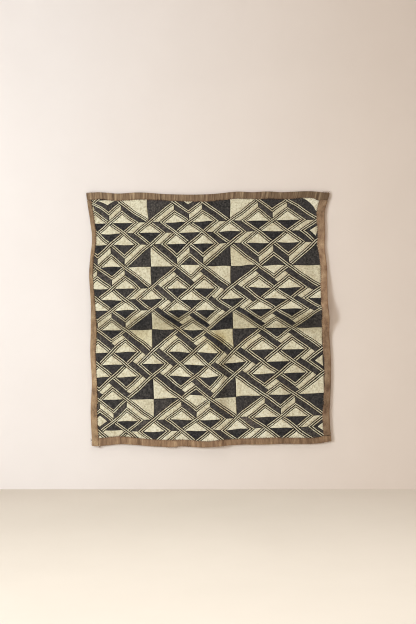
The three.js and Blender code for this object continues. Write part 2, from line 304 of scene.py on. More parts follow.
# =====================================================================
# The interlace, by rule: squares and crossed pairs of long frames on a
# lattice, p running down to the right and q up to the right.
# =====================================================================
L = 2.94  # lattice step, in widths of one small diamond
UNIT = 41.5  # mm, about one small diamond's side
SQUARE, FRAME_LONG, FRAME_SHORT = 1.97, 1.5, 0.5
BAND = 0.088  # half width of a band: two light cords with a dark one between
CORD = 0.055  # from a band's middle to its light cords
# col, x in mm at row 2, lean in mm a row
COLS = np.array([
    (-1.0, -517, 3.0), (-0.5, -422.4, 3.0), (0.0, -327.6, 3.0), (0.5, -232.0, 3.1), (1.0, -136.6, 3.3),
    (1.5, -42.4, 4.2), (2.0, 54.2, 6.6), (2.5, 157.6, 6.6), (3.0, 265.0, 4.8), (3.5, 372.9, 4.5),
    (4.0, 479, 4.5), (4.5, 585, 4.5)])
# row, z in mm at column 1.5, tilt in mm a column
ROWS = np.array([
    (-1.0, 134, 0.5), (-0.5, 57, 0.5), (0.0, -20.2, 3.2), (0.5, -93.2, 3.4), (1.0, -173.6, 2.5),
    (1.5, -251.3, 1.8), (2.0, -322.7, 3.3), (2.5, -402.2, 4.3), (3.0, -484.4, 5.6), (3.5, -560.0, 5.6),
    (4.0, -642.6, 6.0), (4.5, -721, 6.2), (5.0, -800, 6.2)])
# Where the maker's hand drifted from the rule: x, z, shift across, shift
# up, and how far across and down it reaches, all in mm
DRIFTS = [
    (-12, -470, 5.4, -4.2, 48, 120), (-10, -400, 0.0, -2.6, 60, 40), (-170, -28, -4.6, 0.0, 95, 42),
    (62, -26, 7.2, 0.0, 90, 44), (-235, -200, 2.8, 0.0, 55, 85), (225, -160, -2.6, 0.0, 45, 110),
    (60, -120, 2.0, 0.0, 60, 60), (210, -540, 1.6, 0.0, 70, 80), (200, -590, 0.0, -4.5, 34, 26),
    (0, -360, 0.0, 2.2, 400, 22), (-30, -298, 2.3, -2.0, 50, 60), (-58, -490, 2.5, 0.0, 45, 80), (-92, -30, -2.2, -1.4, 70, 24),
    (125, -30, 0.0, 2.2, 90, 26), (-225, -368, -1.4, 1.7, 50, 30), (40, -368, 0.0, -2.2, 40, 30), (60, -500, 0.0, 1.4, 220, 22),
    (-160, -218, 0.0, 1.6, 110, 20), (60, -218, 0.0, 1.6, 70, 20), (165, -450, 1.8, 0.0, 80, 50), (215, -205, -1.2, 0.0, 40, 40), (270, -185, 5.0, 0.0, 24, 60),
    (215, -478, 0.0, 1.5, 75, 18), (255, -478, 0.0, 1.5, 30, 18),
    (-268, -16, -6.5, -2.0, 30, 18), (-266, -92, 3.6, 1.0, 24, 24), (-170, -324, 0.0, 1.4, 40, 16),
    (264, -114, -10.5, 0.0, 26, 22), (-133, -564, 0.0, -3.2, 24, 14), (50, -560, 0.0, -2.8, 22, 14), (205, -563, 0.0, -3.0, 18, 10),
]
HAND_X, HAND_Z = waves(21, 8, 34, 95), waves(22, 8, 34, 95)


def chart(p, q):
    """Where a place of the lattice lies on the cloth's face, in mm."""
    s, t = (p + q) / (2 * L), (p - q) / (2 * L)
    x = along(COLS, 1, s) + along(COLS, 2, s) * (t - 2)
    z = along(ROWS, 1, t) + along(ROWS, 2, t) * (s - 1.5)
    mx, mz = x, z
    for x0, z0, push_x, push_z, across, down in DRIFTS:
        near = np.exp(-((mx - x0) / across) ** 2 - ((mz - z0) / down) ** 2)
        x, z = x + push_x * near, z + push_z * near
    return x + 0.75 * HAND_X(x, z), z + 0.75 * HAND_Z(x, z)


def at(col, row):
    return L * (col + row), L * (col - row)


GROUPS = [(c + 0.5, r + 0.5) for c in range(-1, 4) for r in range(-1, 5)]
CHECKERS = [(float(c), float(r)) for c in range(0, 5) for r in range(-1, 6)]
SIDES = [(float(c), r + 0.5) for c in range(0, 5) for r in range(-1, 5)]  # between groups, side by side
MIDS = [(c + 0.5, float(r)) for c in range(-1, 4) for r in range(-1, 6)]  # above and below groups

# Where the maker broke the rule
DARK_TOP = {(1.5, 1.0): -0.13, (2.5, 1.0): 0.0, (1.5, 3.0): -0.32}  # mid diamonds, and where they split
CHEVRON = {(0.5, 0.0), (1.5, 0.0)}  # dark, with a small light triangle hanging in it
ALL_DARK = {(2.5, 0.0)}
SIDE_POINT = {(3.0, 0.5), (3.0, 2.5), (3.0, 3.5)}  # dark, with a light triangle pointing left
SWAPPED_CHECKER = {(2.0, 0.0), (3.0, 3.0)}
DARK_CHECKER = {(3.0, 0.0)}
SWAPPED_GROUP = {(0.5, 3.5)}
# Groups whose pale strips end square, with the dark ones running past them;
# the others are mitred, level or upright
SQUARE_ENDS = {(-0.5, 2.5), (0.5, 2.5), (1.5, 1.5), (1.5, 2.5), (2.5, 1.5), (2.5, 2.5), (3.5, 1.5), (3.5, 2.5)}

LIGHT, DARK = 1, 0
EDGE_IN = {LIGHT: BAND + 0.036, DARK: BAND + 0.022}  # a fill's distance from a band's middle
SPLIT_IN = 0.012
# How each kind of patch was dyed, by tone: the small black triangles are the
# deepest, the pale strips the dullest
SHADE = {"diamond": {LIGHT: 0.08, DARK: -0.30}, "strip": {LIGHT: -0.06, DARK: 0.04}, "square": {LIGHT: -0.06, DARK: 0.04}, "checker": {LIGHT: 0.0, DARK: 0.0}, "odd": {LIGHT: 0.0, DARK: 0.04}}


def inset(poly, amounts):
    """A convex polygon with each edge moved in by its own amount."""
    n = len(poly)
    pts = np.array(poly, float)
    if np.sum(pts[:, 0] * np.roll(pts[:, 1], -1) - np.roll(pts[:, 0], -1) * pts[:, 1]) < 0:
        pts = pts[::-1]
        amounts = [amounts[(n - 2 - i) % n] for i in range(n)]
    lines = []
    for i in range(n):
        a, b = pts[i], pts[(i + 1) % n]
        d = (b - a) / np.linalg.norm(b - a)
        nrm = np.array([-d[1], d[0]])
        lines.append((a + nrm * amounts[i], d))
    out = []
    for i in range(n):
        (a, d), (b, e) = lines[i - 1], lines[i]
        s = np.linalg.solve(np.array([d, -e]).T, b - a)
        out.append(a + d * s[0])
    return np.array(out)


def fills():
    """Every patch of pile: its tone, its corners on the lattice and its shade."""
    out = []

    def add(tone, centre, poly, bands, kind="odd"):
        amounts = [EDGE_IN[tone] if b else SPLIT_IN for b in bands]
        out.append((tone, inset([(centre[0] + a, centre[1] + b) for a, b in poly], amounts), SHADE[kind][tone]))

    def halves(centre, h, top, bottom, split=0.0):
        # left, right, top and bottom corners of a diamond, cut by a level line
        s, kind = split * h, "diamond" if (top, bottom) == (LIGHT, DARK) else "odd"
        if abs(s) < 1e-6:
            add(top, centre, [(-h, -h), (h, h), (-h, h)], [0, 1, 1], kind)
            add(bottom, centre, [(-h, -h), (h, -h), (h, h)], [1, 1, 0], kind)
        elif s > 0:  # line below the middle: p - q = 2 s
            a, b = (2 * s - h, -h), (h, h - 2 * s)
            add(top, centre, [(-h, -h), a, b, (h, h), (-h, h)], [1, 0, 1, 1, 1], kind)
            add(bottom, centre, [a, (h, -h), b], [1, 1, 0], kind)
        else:  # line above the middle
            a, b = (-h, -h - 2 * s), (h + 2 * s, h)
            add(top, centre, [a, b, (-h, h)], [0, 1, 1], kind)
            add(bottom, centre, [a, (-h, -h), (h, -h), (h, h), b], [1, 1, 1, 1, 0], kind)

    for col, row in GROUPS:
        c = at(col, row)
        swap = (col, row) in SWAPPED_GROUP
        for dp, dq in ((0, 0), (1, 0), (-1, 0), (0, 1), (0, -1)):
            tones = (DARK, LIGHT) if swap and (dp, dq) == (0, 0) else (LIGHT, DARK)
            if swap and (dp, dq) == (-1, 0):  # dark, round a small light diamond
                d, k = FRAME_SHORT, 0.28
                for poly in ([(-d, -d), (-k, -k), (-k, k), (-d, d)], [(-d, d), (-k, k), (k, k), (d, d)],
                             [(d, d), (k, k), (k, -k), (d, -d)], [(d, -d), (k, -k), (-k, -k), (-d, -d)]):
                    add(DARK, (c[0] + dp, c[1] + dq), poly, [0, 0, 0, 1])
                add(LIGHT, (c[0] + dp, c[1] + dq), [(-k, -k), (k, -k), (k, k), (-k, k)], [0, 0, 0, 0])
                continue
            halves((c[0] + dp, c[1] + dq), FRAME_SHORT, *tones, split=0.05 if tones[0] == LIGHT else -0.17)
        up, down = (DARK, LIGHT) if swap else (LIGHT, DARK)  # strips rising and falling to the right
        a, b, w, k = FRAME_LONG, FRAME_SHORT, SQUARE, L - SQUARE
        for sg in (1, -1) if (col, row) in SQUARE_ENDS else ():
            e = EDGE_IN[DARK]
            add(LIGHT, c, [(sg * a, -b - e), (sg * w, -b - e), (sg * w, b + e), (sg * a, b + e)], [0, 1, 0, 1], "square")
            add(DARK, c, [(-k, sg * a), (-k, sg * w), (k, sg * w), (k, sg * a)], [1, 1, 1, 1], "square")
            for sh in (1, -1):
                add(LIGHT, c, [(sh * b, sg * (k - e)), (sh * b, sg * (a + e)), (sh * k, sg * (a + e)), (sh * k, sg * (k - e))], [1, 0, 1, 0], "square")
                add(DARK, c, [(sg * b, sh * b), (sg * w, sh * b), (sg * w, sh * k), (sg * b, sh * k)], [1, 1, 1, 1], "square")
        for sg in (1, -1) if (col, row) not in SQUARE_ENDS else ():
            add(up, c, [(sg * a, -b), (sg * w, -k), (sg * w, k), (sg * a, b)], [0, 1, 0, 1], "strip")
            add(down, c, [(-b, sg * a), (-k, sg * w), (k, sg * w), (b, sg * a)], [0, 1, 0, 1], "strip")
            for sh in (1, -1):
                add(down, c, [(sg * b, sh * b), (sg * a, sh * b), (sg * w, sh * k), (sg * k, sh * k)], [1, 0, 1, 0], "strip")
                add(up, c, [(sh * b, sg * b), (sh * b, sg * a), (sh * k, sg * w), (sh * k, sg * k)], [1, 0, 1, 0], "strip")
    h = SQUARE - L / 2
    for col, row in SIDES + MIDS:
        c = at(col, row)
        key = (col, row)
        if key in DARK_TOP:
            halves(c, h, DARK, LIGHT, DARK_TOP[key])
        elif key in ALL_DARK or key in CHEVRON or key in SIDE_POINT:
            if key in SIDE_POINT:  # around a triangle that points left
                tip, up, low = (-0.27, -0.27), (-0.27, 0.27), (0.27, -0.27)
                add(LIGHT, c, [tip, low, up], [0, 0, 0])
                add(DARK, c, [(-h, h), (-h, -h), tip, up], [1, 0, 0, 0])
                add(DARK, c, [(h, -h), low, tip, (-h, -h)], [0, 0, 0, 1])
                add(DARK, c, [(-h, h), (h, -h), (h, h)], [0, 1, 1])
            elif key in CHEVRON:
                left, right, tip = (-0.455, -0.203), (0.203, 0.455), (0.13, -0.13)
                add(LIGHT, c, [left, tip, right], [0, 0, 0])
                add(DARK, c, [(-h, -h), (h, -h), tip, left], [1, 0, 0, 0])
                add(DARK, c, [(h, -h), (h, h), right, tip], [1, 0, 0, 0])
            else:
                halves(c, h, DARK, DARK)
        else:
            halves(c, h, LIGHT, DARK)
    h = L - SQUARE
    for col, row in CHECKERS:
        c = at(col, row)
        one, two = (LIGHT, DARK) if (col, row) in SWAPPED_CHECKER else (DARK, LIGHT)
        if (col, row) in DARK_CHECKER:
            one = two = DARK
        if row == 0:  # the lower quarters run up under the binding
            d = 0.2
            add(two, c, [(-d, d), (-h - d, d - h), (-h, -h), (h, -h)], [0, 0, 1, 0], "checker")
            add(one, c, [(-d, d), (h, -h), (h, h), (h - d, h + d)], [0, 1, 0, 0], "checker")
            continue
        add(one, c, [(0, 0), (-h, h), (-h, -h)], [0, 1, 0], "checker")  # upper left
        add(two, c, [(0, 0), (h, h), (-h, h)], [0, 1, 0], "checker")  # upper right
        add(two, c, [(0, 0), (-h, -h), (h, -h)], [0, 1, 0], "checker")  # lower left
        add(one, c, [(0, 0), (h, -h), (h, h)], [0, 1, 0], "checker")  # lower right
    out.append((LIGHT, CORNER, 0.0))
    return out


# The one curved patch, in the top right corner: light, hollowed by a round
# dark field. Columns: col, row
CORNER = np.array([at(c, r) for c, r in (
    (2.80, -0.06), (2.832, -0.022), (2.877, 0.010), (2.917, 0.055), (2.949, 0.113), (2.972, 0.188), (3.09, 0.21), (3.09, -0.1), (2.80, -0.1))])


# =====================================================================
# Meshes from arrays
# =====================================================================
def make(name, verts, tris, materials, tone=None, uv=None, which=None, strip_uv=None):
    me = bpy.data.meshes.new(name)
    used, tris = np.unique(np.asarray(tris, np.int64), return_inverse=True)
    tris = tris.reshape(-1, 3).astype(np.int32)
    verts = np.asarray(verts)[used]
    tone, uv, strip_uv = (None if a is None else np.asarray(a)[used] for a in (tone, uv, strip_uv))
    me.vertices.add(len(verts))
    me.vertices.foreach_set("co", np.asarray(verts, np.float32).ravel())
    me.loops.add(tris.size)
    me.loops.foreach_set("vertex_index", tris.ravel())
    me.polygons.add(len(tris))
    me.polygons.foreach_set("loop_start", np.arange(0, tris.size, 3, dtype=np.int32))
    me.polygons.foreach_set("use_smooth", np.ones(len(tris), bool))
    if which is not None:
        me.polygons.foreach_set("material_index", np.asarray(which, np.int32))
    me.update(calc_edges=True)
    if uv is None:  # flat across the cloth's face
        lo, hi = np.array([-0.3, -0.62]), np.array([0.3, 0.02])
        uv = (np.asarray(verts)[:, [0, 2]] - lo) / (hi - lo)
    layer = me.uv_layers.new(name="OFBake")
    layer.data.foreach_set("uv", np.asarray(uv, np.float32)[tris.ravel()].ravel())
    if strip_uv is not None:
        layer = me.uv_layers.new(name="strip")
        layer.data.foreach_set("uv", np.asarray(strip_uv, np.float32)[tris.ravel()].ravel())
    if tone is not None:
        attr = me.color_attributes.new(name="tone", type="FLOAT_COLOR", domain="POINT")
        rgba = np.ones((len(verts), 4), np.float32)
        rgba[:, 0] = tone
        # green: soil and painted shade of the folds
        rgba[:, 1] = soil_and_fold_shade(verts[:, 0] / MM, verts[:, 2] / MM)
        rgba[:, 2] = yellow(verts[:, 0] / MM, verts[:, 2] / MM)
        rgba[:, 3] = rubbed(verts[:, 0] / MM, verts[:, 2] / MM)
        attr.data.foreach_set("color", rgba.ravel())
    me.validate()
    ob = bpy.data.objects.new(name, me)
    bpy.context.scene.collection.objects.link(ob)
    for m in materials:
        me.materials.append(m)
    return ob


def to_front(verts, tris):
    """Triangles all turned to face the front, -Y."""
    a, b, c = (verts[tris[:, k]] for k in range(3))
    back = (b[:, 2] - a[:, 2]) * (c[:, 0] - a[:, 0]) - (b[:, 0] - a[:, 0]) * (c[:, 2] - a[:, 2]) > 0
    return np.where(back[:, None], tris[:, ::-1], tris)


def to_outside(verts, tris, per):
    """Triangles turned away from the middle of their own block of vertices."""
    mid = verts.reshape(-1, per, 3).mean(1)[tris[:, 0] // per]
    a, b, c = (verts[tris[:, k]] for k in range(3))
    inward = np.einsum("ij,ij->i", np.cross(b - a, c - a), (a + b + c) / 3 - mid) < 0
    return np.where(inward[:, None], tris[:, ::-1], tris)


def grid_tris(rows, cols, offset=0, flip=False):
    a = (np.arange(rows - 1)[:, None] * cols + np.arange(cols - 1)[None, :]).ravel() + offset
    quads = np.stack([a, a + cols, a + cols + 1, a + 1], -1)
    if flip:
        quads = quads[:, ::-1]
    return np.concatenate([quads[:, [0, 1, 2]], quads[:, [0, 2, 3]]])


# =====================================================================
# Materials
# =====================================================================
def material(name, roughness, sheen=0.0, specular=0.25):
    m = bpy.data.materials.new(name)
    m.use_nodes = True
    nt = m.node_tree
    b = nt.nodes["Principled BSDF"]
    b.inputs["Roughness"].default_value = roughness
    b.inputs["Specular IOR Level"].default_value = specular
    b.inputs["Sheen Weight"].default_value = sheen
    b.inputs["Sheen Roughness"].default_value = 0.6
    return m, nt, b


def node(nt, kind, **values):
    n = nt.nodes.new(kind)
    for k, v in values.items():
        if k in n.inputs:
            n.inputs[k].default_value = v
        else:
            setattr(n, k, v)
    return n


def ramp(nt, fac, stops):
    n = nt.nodes.new("ShaderNodeValToRGB")
    e = n.color_ramp.elements
    while len(e) < len(stops):
        e.new(0.5)
    for el, (pos, rgb) in zip(e, stops):
        el.position = pos
        el.color = (*rgb, 1)
    nt.links.new(fac, n.inputs["Fac"])
    return n.outputs["Color"]


def blend(nt, kind, fac, a, b):
    n = nt.nodes.new("ShaderNodeMix")
    n.data_type = "RGBA"
    n.blend_type = kind
    if isinstance(fac, (int, float)):
        n.inputs["Factor"].default_value = fac
    else:
        nt.links.new(fac, n.inputs["Factor"])
    for socket, value in ((n.inputs[6], a), (n.inputs[7], b)):
        if isinstance(value, tuple):
            socket.default_value = (*value, 1)
        else:
            nt.links.new(value, socket)
    return n.outputs[2]


def noise(nt, vector, scale, detail=3.0, rough=0.55):
    n = node(nt, "ShaderNodeTexNoise", Scale=scale, Detail=detail, Roughness=rough)
    nt.links.new(vector, n.inputs["Vector"])
    return n.outputs["Fac"]


def bump(nt, b, height, strength, distance):
    n = node(nt, "ShaderNodeBump", Strength=strength, Distance=distance)
    nt.links.new(height, n.inputs["Height"])
    nt.links.new(n.outputs["Normal"], b.inputs["Normal"])


def stretched(nt, vector, scale, turn=0.0):
    n = node(nt, "ShaderNodeMapping")
    n.inputs["Scale"].default_value = scale
    n.inputs["Rotation"].default_value = (0, turn, 0)
    nt.links.new(vector, n.inputs["Vector"])
    return n.outputs["Vector"]


def pile_material(name, stops, mottle, blot, blot_share, roughness, sheen, aged=(0.97, 0.92, 0.74), soil_and_shade_tint=(0.56, 0.52, 0.43), dull=None):
    m, nt, b = material(name, roughness, sheen, 0.18)
    here = node(nt, "ShaderNodeTexCoord").outputs["Object"]
    own = node(nt, "ShaderNodeSeparateColor")  # red: each tuft's tone, green: soil and painted fold shade, blue: yellowing
    tone = node(nt, "ShaderNodeAttribute", attribute_name="tone")
    nt.links.new(tone.outputs["Color"], own.inputs[0])
    fine = noise(nt, here, 520, 3)
    both = node(nt, "ShaderNodeMath", operation="MULTIPLY_ADD")
    nt.links.new(fine, both.inputs[0])
    both.inputs[1].default_value = 0.5
    add = node(nt, "ShaderNodeMath", operation="MULTIPLY_ADD")
    nt.links.new(own.outputs[0], add.inputs[0])
    add.inputs[1].default_value = 0.75
    add.inputs[2].default_value = -0.125
    nt.links.new(add.outputs[0], both.inputs[2])
    colour = ramp(nt, both.outputs[0], stops)
    grain = ramp(nt, noise(nt, here, 230, 2), [(0.32, mottle[0]), (0.5, (1, 1, 1)), (0.68, mottle[1])])
    colour = blend(nt, "MULTIPLY", 1.0, colour, grain)
    large = ramp(nt, noise(nt, here, 38, 4), [(0.45, (0, 0, 0)), (0.72, (blot_share,) * 3)])
    colour = blend(nt, "MIX", large, colour, blot)
    if dull:  # alpha: how far it is rubbed
        part = node(nt, "ShaderNodeMath", operation="MULTIPLY")
        nt.links.new(tone.outputs["Alpha"], part.inputs[0])
        part.inputs[1].default_value = 0.55
        colour = blend(nt, "MIX", part.outputs[0], colour, dull)
    colour = blend(nt, "MULTIPLY", own.outputs[2], colour, aged)
    nt.links.new(blend(nt, "MULTIPLY", own.outputs[1], colour, soil_and_shade_tint), b.inputs["Base Color"])
    bump(nt, b, noise(nt, here, 1500, 2), 0.35, 0.0006)
    return m


CREAM = [(0.12, (0.40, 0.345, 0.23)), (0.32, (0.65, 0.62, 0.465)), (0.55, (0.79, 0.785, 0.625)), (0.85, (0.87, 0.875, 0.75))]
STRAW = [(0.12, (0.42, 0.34, 0.22)), (0.32, (0.65, 0.61, 0.45)), (0.55, (0.77, 0.77, 0.59)), (0.85, (0.86, 0.86, 0.72))]
BLACK = [(0.08, (0.018, 0.019, 0.021)), (0.3, (0.034, 0.035, 0.0375)), (0.5, (0.052, 0.050, 0.048)), (0.8, (0.094, 0.086, 0.080)), (0.98, (0.165, 0.138, 0.122))]
INK = [(0.15, (0.012, 0.011, 0.010)), (0.5, (0.024, 0.022, 0.019)), (0.8, (0.050, 0.042, 0.034)), (0.95, (0.12, 0.09, 0.06))]
PALE_MOTTLE = ((0.75, 0.71, 0.62), (1.11, 1.11, 1.12))
DEEP_MOTTLE = ((0.45, 0.46, 0.49), (1.92, 1.87, 1.80))
light_pile = pile_material("pile_light", CREAM, PALE_MOTTLE, (0.56, 0.46, 0.30), 0.3, 0.95, 0.12)
light_cord = pile_material("cord_light", STRAW, PALE_MOTTLE, (0.60, 0.48, 0.31), 0.4, 0.8, 0.0, dull=(0.46, 0.42, 0.30))
dark_pile = pile_material("pile_dark", BLACK, DEEP_MOTTLE, (0.060, 0.056, 0.058), 0.6, 0.95, 0.05, (0.9, 0.9, 0.9), (0.58, 0.58, 0.58))
dark_cord = pile_material("cord_dark", INK, DEEP_MOTTLE, (0.04, 0.03, 0.025), 0.5, 0.8, 0.0, (0.95, 0.95, 0.95), (0.62, 0.61, 0.60), (0.23, 0.20, 0.14))


def weave_material(name, warm, pale, deep, pitch):
    m, nt, b = material(name, 0.85, 0.05, 0.25)
    here = node(nt, "ShaderNodeTexCoord").outputs["Object"]
    waves_out = []
    for direction in ("X", "Z"):
        w = node(nt, "ShaderNodeTexWave", wave_type="BANDS", bands_direction=direction, Scale=1 / pitch / 3.1416 / 2 * 3.1416,
                 Distortion=1.5, Detail=2.0)
        w.inputs["Detail Scale"].default_value = 2.0
        nt.links.new(here, w.inputs["Vector"])
        waves_out.append(w.outputs["Fac"])
    both = node(nt, "ShaderNodeMath", operation="MULTIPLY")
    nt.links.new(waves_out[0], both.inputs[0])
    nt.links.new(waves_out[1], both.inputs[1])
    threads = noise(nt, stretched(nt, here, (900, 900, 30)), 1.0, 2)
    colour = ramp(nt, threads, [(0.3, deep), (0.5, warm), (0.72, pale)])
    large = ramp(nt, noise(nt, here, 14, 3), [(0.4, (0, 0, 0)), (0.75, (0.55,) * 3)])
    colour = blend(nt, "MIX", large, colour, deep)
    nt.links.new(blend(nt, "MULTIPLY", 0.5, colour, ramp(nt, both.outputs[0], [(0.0, (0.45,) * 3), (0.6, (1, 1, 1))])),
                 b.inputs["Base Color"])
    bump(nt, b, both.outputs[0], 0.6, 0.0005)
    return m


raffia_back = weave_material("raffia_weave", (0.40, 0.29, 0.16), (0.50, 0.39, 0.23), (0.27, 0.18, 0.10), 0.0012)


def binding_material(name, stops, contrast, streaks=(170, 9, 1), fibres=(900, 60, 1), blot_share=0.4):
    m, nt, b = material(name, 0.82, 0.04, 0.25)
    strip = node(nt, "ShaderNodeUVMap", uv_map="strip").outputs["UV"]
    here = node(nt, "ShaderNodeTexCoord").outputs["Object"]
    # x runs along the strip, y across it, both in metres
    stripes = noise(nt, stretched(nt, strip, streaks), 1.0, 4, 0.62)
    colour = ramp(nt, stripes, stops)
    threads = noise(nt, stretched(nt, strip, fibres), 1.0, 2)
    colour = blend(nt, "MULTIPLY", contrast, colour, ramp(nt, threads, [(0.3, (0.5, 0.46, 0.42)), (0.65, (1.15, 1.12, 1.08))]))
    blots = ramp(nt, noise(nt, here, 30, 3), [(0.42, (0, 0, 0)), (0.75, (blot_share,) * 3)])
    colour = blend(nt, "MIX", blots, colour, (0.17, 0.10, 0.065))
    shade = node(nt, "ShaderNodeSeparateColor")  # red: how worn and pale the strip is there, with painted shade at the left strip's top end
    nt.links.new(node(nt, "ShaderNodeAttribute", attribute_name="tone").outputs["Color"], shade.inputs[0])
    nt.links.new(blend(nt, "MULTIPLY", 1.0, colour, shade.outputs[0]), b.inputs["Base Color"])
    bump(nt, b, threads, 0.5, 0.0006)
    return m


binding_mats = {
    "top": binding_material("binding_striped", [(0.34, (0.085, 0.056, 0.036)), (0.44, (0.19, 0.132, 0.082)), (0.54, (0.29, 0.212, 0.135)), (0.64, (0.45, 0.36, 0.24))], 0.5),
    "bottom": binding_material("binding_brown", [(0.34, (0.14, 0.086, 0.052)), (0.46, (0.27, 0.178, 0.108)), (0.56, (0.34, 0.232, 0.142)), (0.66, (0.45, 0.335, 0.215))], 0.45, (95, 14, 1), (800, 110, 1)),
    "left": binding_material("binding_tan", [(0.34, (0.17, 0.113, 0.068)), (0.46, (0.30, 0.207, 0.124)), (0.56, (0.36, 0.26, 0.158)), (0.66, (0.46, 0.36, 0.23))], 0.4, (42, 60, 1), (620, 420, 1), 0.22),
    "right": binding_material("binding_red", [(0.34, (0.17, 0.105, 0.066)), (0.46, (0.29, 0.195, 0.123)), (0.56, (0.36, 0.255, 0.164)), (0.66, (0.45, 0.34, 0.225))], 0.4, (42, 60, 1), (620, 420, 1), 0.22),
}
sewing_mat = pile_material("sewing_thread", [(0.2, (0.09, 0.05, 0.035)), (0.5, (0.19, 0.11, 0.07)), (0.85, (0.42, 0.31, 0.19))], DEEP_MOTTLE, (0.1, 0.06, 0.04), 0.4, 0.75, 0.0)

# =====================================================================
# The woven ground, a thin closed sheet: black stitching in front, bare
# weave behind
# =====================================================================
def ground():
    nu, nv = 116, 122
    inset_a = 1.8
    uu, vv = np.meshgrid(np.linspace(0, 1, nu), np.linspace(0, 1, nv))
    u = mix(inset_a / WIDTH, 1 - inset_a / WIDTH, uu)
    v = mix(inset_a / HEIGHT, 1 - inset_a / HEIGHT, vv)
    x, z = face(u, v)
    x, z = x.ravel(), z.ravel()
    front, back = place(x, z, np.full_like(x, 0.1), False), place(x, z, np.full_like(x, -0.95), False)
    n = nu * nv
    verts = np.concatenate([front, back])
    tris = [grid_tris(nv, nu), grid_tris(nv, nu, n, True)]
    which = [np.zeros(len(tris[0])), np.ones(len(tris[1]))]
    ring = np.concatenate([np.arange(nu), np.arange(1, nv) * nu + nu - 1, (nv - 1) * nu + np.arange(nu - 2, -1, -1),
                           np.arange(nv - 2, 0, -1) * nu])
    nxt = np.roll(ring, -1)
    tris += [np.stack([ring, nxt, nxt + n], -1), np.stack([ring, nxt + n, ring + n], -1)]
    which += [np.ones(len(ring)), np.ones(len(ring))]
    flat = np.stack([uu.ravel(), 1 - vv.ravel()], -1)
    uv = np.concatenate([flat * [0.49, 0.98] + [0.005, 0.01], flat * [0.49, 0.98] + [0.505, 0.01]])
    tone = np.full(len(verts), 0.45)
    return make("ground_cloth", verts, np.concatenate(tris), [dark_cord, raffia_back], tone, uv, np.concatenate(which))


# =====================================================================
# Patches of cut pile: a low pillow each, and tufts all over it
# =====================================================================
PILE = {LIGHT: 1.15, DARK: 1.0}  # height of the pile over the cloth's middle, mm


def crown(e, height):
    """Height of a patch e mm in from its edge."""
    t = np.clip(e / 1.9, 0, 1)
    return 0.05 + (height - 0.05) * np.sqrt(np.maximum(0, 1 - (1 - t) ** 2))


def edge_gap(poly, pts):
    """Distance of points inside a polygon from its nearest edge, in mm; 0 outside."""
    gap, odd = np.full(len(pts), 1e9), np.zeros(len(pts), bool)
    for i in range(len(poly)):
        a, b = poly[i], poly[(i + 1) % len(poly)]
        d = b - a
        t = np.clip(((pts - a) @ d) / (d @ d), 0, 1)
        gap = np.minimum(gap, np.linalg.norm(pts - a - t[:, None] * d, axis=1))
        if a[1] != b[1]:
            odd ^= ((a[1] > pts[:, 1]) != (b[1] > pts[:, 1])) & (pts[:, 0] < (b[0] - a[0]) * (pts[:, 1] - a[1]) / (b[1] - a[1]) + a[0])
    return np.where(odd, gap, 0) * UNIT


def patch_mesh(poly):
    """Points on the lattice and triangles of one patch."""
    if len(poly) == 4 and max(np.linalg.norm(poly[1] - poly[0]), np.linalg.norm(poly[2] - poly[1])) > 0.9:
        a, b, c, d = poly  # a strip: rows along it
        if np.linalg.norm(b - a) < np.linalg.norm(c - b):
            a, b, c, d = b, c, d, a
        n = max(4, int(np.linalg.norm(b - a) * UNIT / 4.0))
        s = np.concatenate([[0, 0.3 / n, 0.7 / n], np.linspace(0, 1, n + 1)[1:-1], [1 - 0.7 / n, 1 - 0.3 / n, 1]])
        t = np.array([0, 0.06, 0.17, 0.36, 0.64, 0.83, 0.94, 1])
        ss, tt = np.meshgrid(s, t)
        pts = (a + (b - a) * ss[..., None]) * (1 - tt[..., None]) + (d + (c - d) * ss[..., None]) * tt[..., None]
        return pts.reshape(-1, 2), grid_tris(len(t), len(s))
    if len(poly) == 3:
        la, lb, lc = (np.linalg.norm(poly[(i + 2) % 3] - poly[(i + 1) % 3]) for i in range(3))
        centre = (la * poly[0] + lb * poly[1] + lc * poly[2]) / (la + lb + lc)
    elif poly is CORNER:
        centre = np.array(at(3.03, 0.01))
    else:
        centre = poly.mean(0)
    deep = max(edge_gap(poly, centre[None])[0], 1e-3)
    outline = []
    for i in range(len(poly)):
        a, b = poly[i], poly[(i + 1) % len(poly)]
        n = max(2, int(np.linalg.norm(b - a) * UNIT / 3.6))
        outline.append(a + (b - a) * (np.arange(n) / n)[:, None])
    outline = np.concatenate(outline)
    m = len(outline)
    levels = [e for e in (0, 0.25, 0.8, 1.7, 3.2, 6.5, 10.5, 15) if e < deep * 0.9]
    pts = np.concatenate([centre + (outline - centre) * (1 - e / deep) for e in levels] + [centre[None]])
    tris = []
    k = np.arange(m)
    for r in range(len(levels) - 1):
        a, b = r * m + k, r * m + (k + 1) % m
        tris += [np.stack([a, b, b + m], -1), np.stack([a, b + m, a + m], -1)]
    a, b = (len(levels) - 1) * m + k, (len(levels) - 1) * m + (k + 1) % m
    tris.append(np.stack([a, b, np.full(m, len(pts) - 1)], -1))
    return pts, np.concatenate(tris)


def area(poly):
    x, y = poly[:, 0], poly[:, 1]
    return abs(np.sum(x * np.roll(y, -1) - np.roll(x, -1) * y)) / 2


def scatter(poly, spacing, seed):
    """Even, jittered places inside a convex polygon."""
    lo, hi = poly.min(0), poly.max(0)
    step = spacing / UNIT
    r = np.random.default_rng(seed)
    gx, gy = np.meshgrid(np.arange(lo[0], hi[0] + step, step), np.arange(lo[1], hi[1] + step, step * 0.866))
    gx = gx + (np.arange(gx.shape[0])[:, None] % 2) * step / 2
    pts = np.stack([gx.ravel(), gy.ravel()], -1) + r.uniform(-0.38, 0.38, (gx.size, 2)) * step
    keep = edge_gap(poly, pts) > 0.45
    return pts[keep]


def inside(x, z, over):
    u, v = uv_at(x, z)
    return margin(u, v) > -over


ALL_FILLS = fills()
VARY = {LIGHT: 0.08, DARK: 0.17}  # from one patch to the next
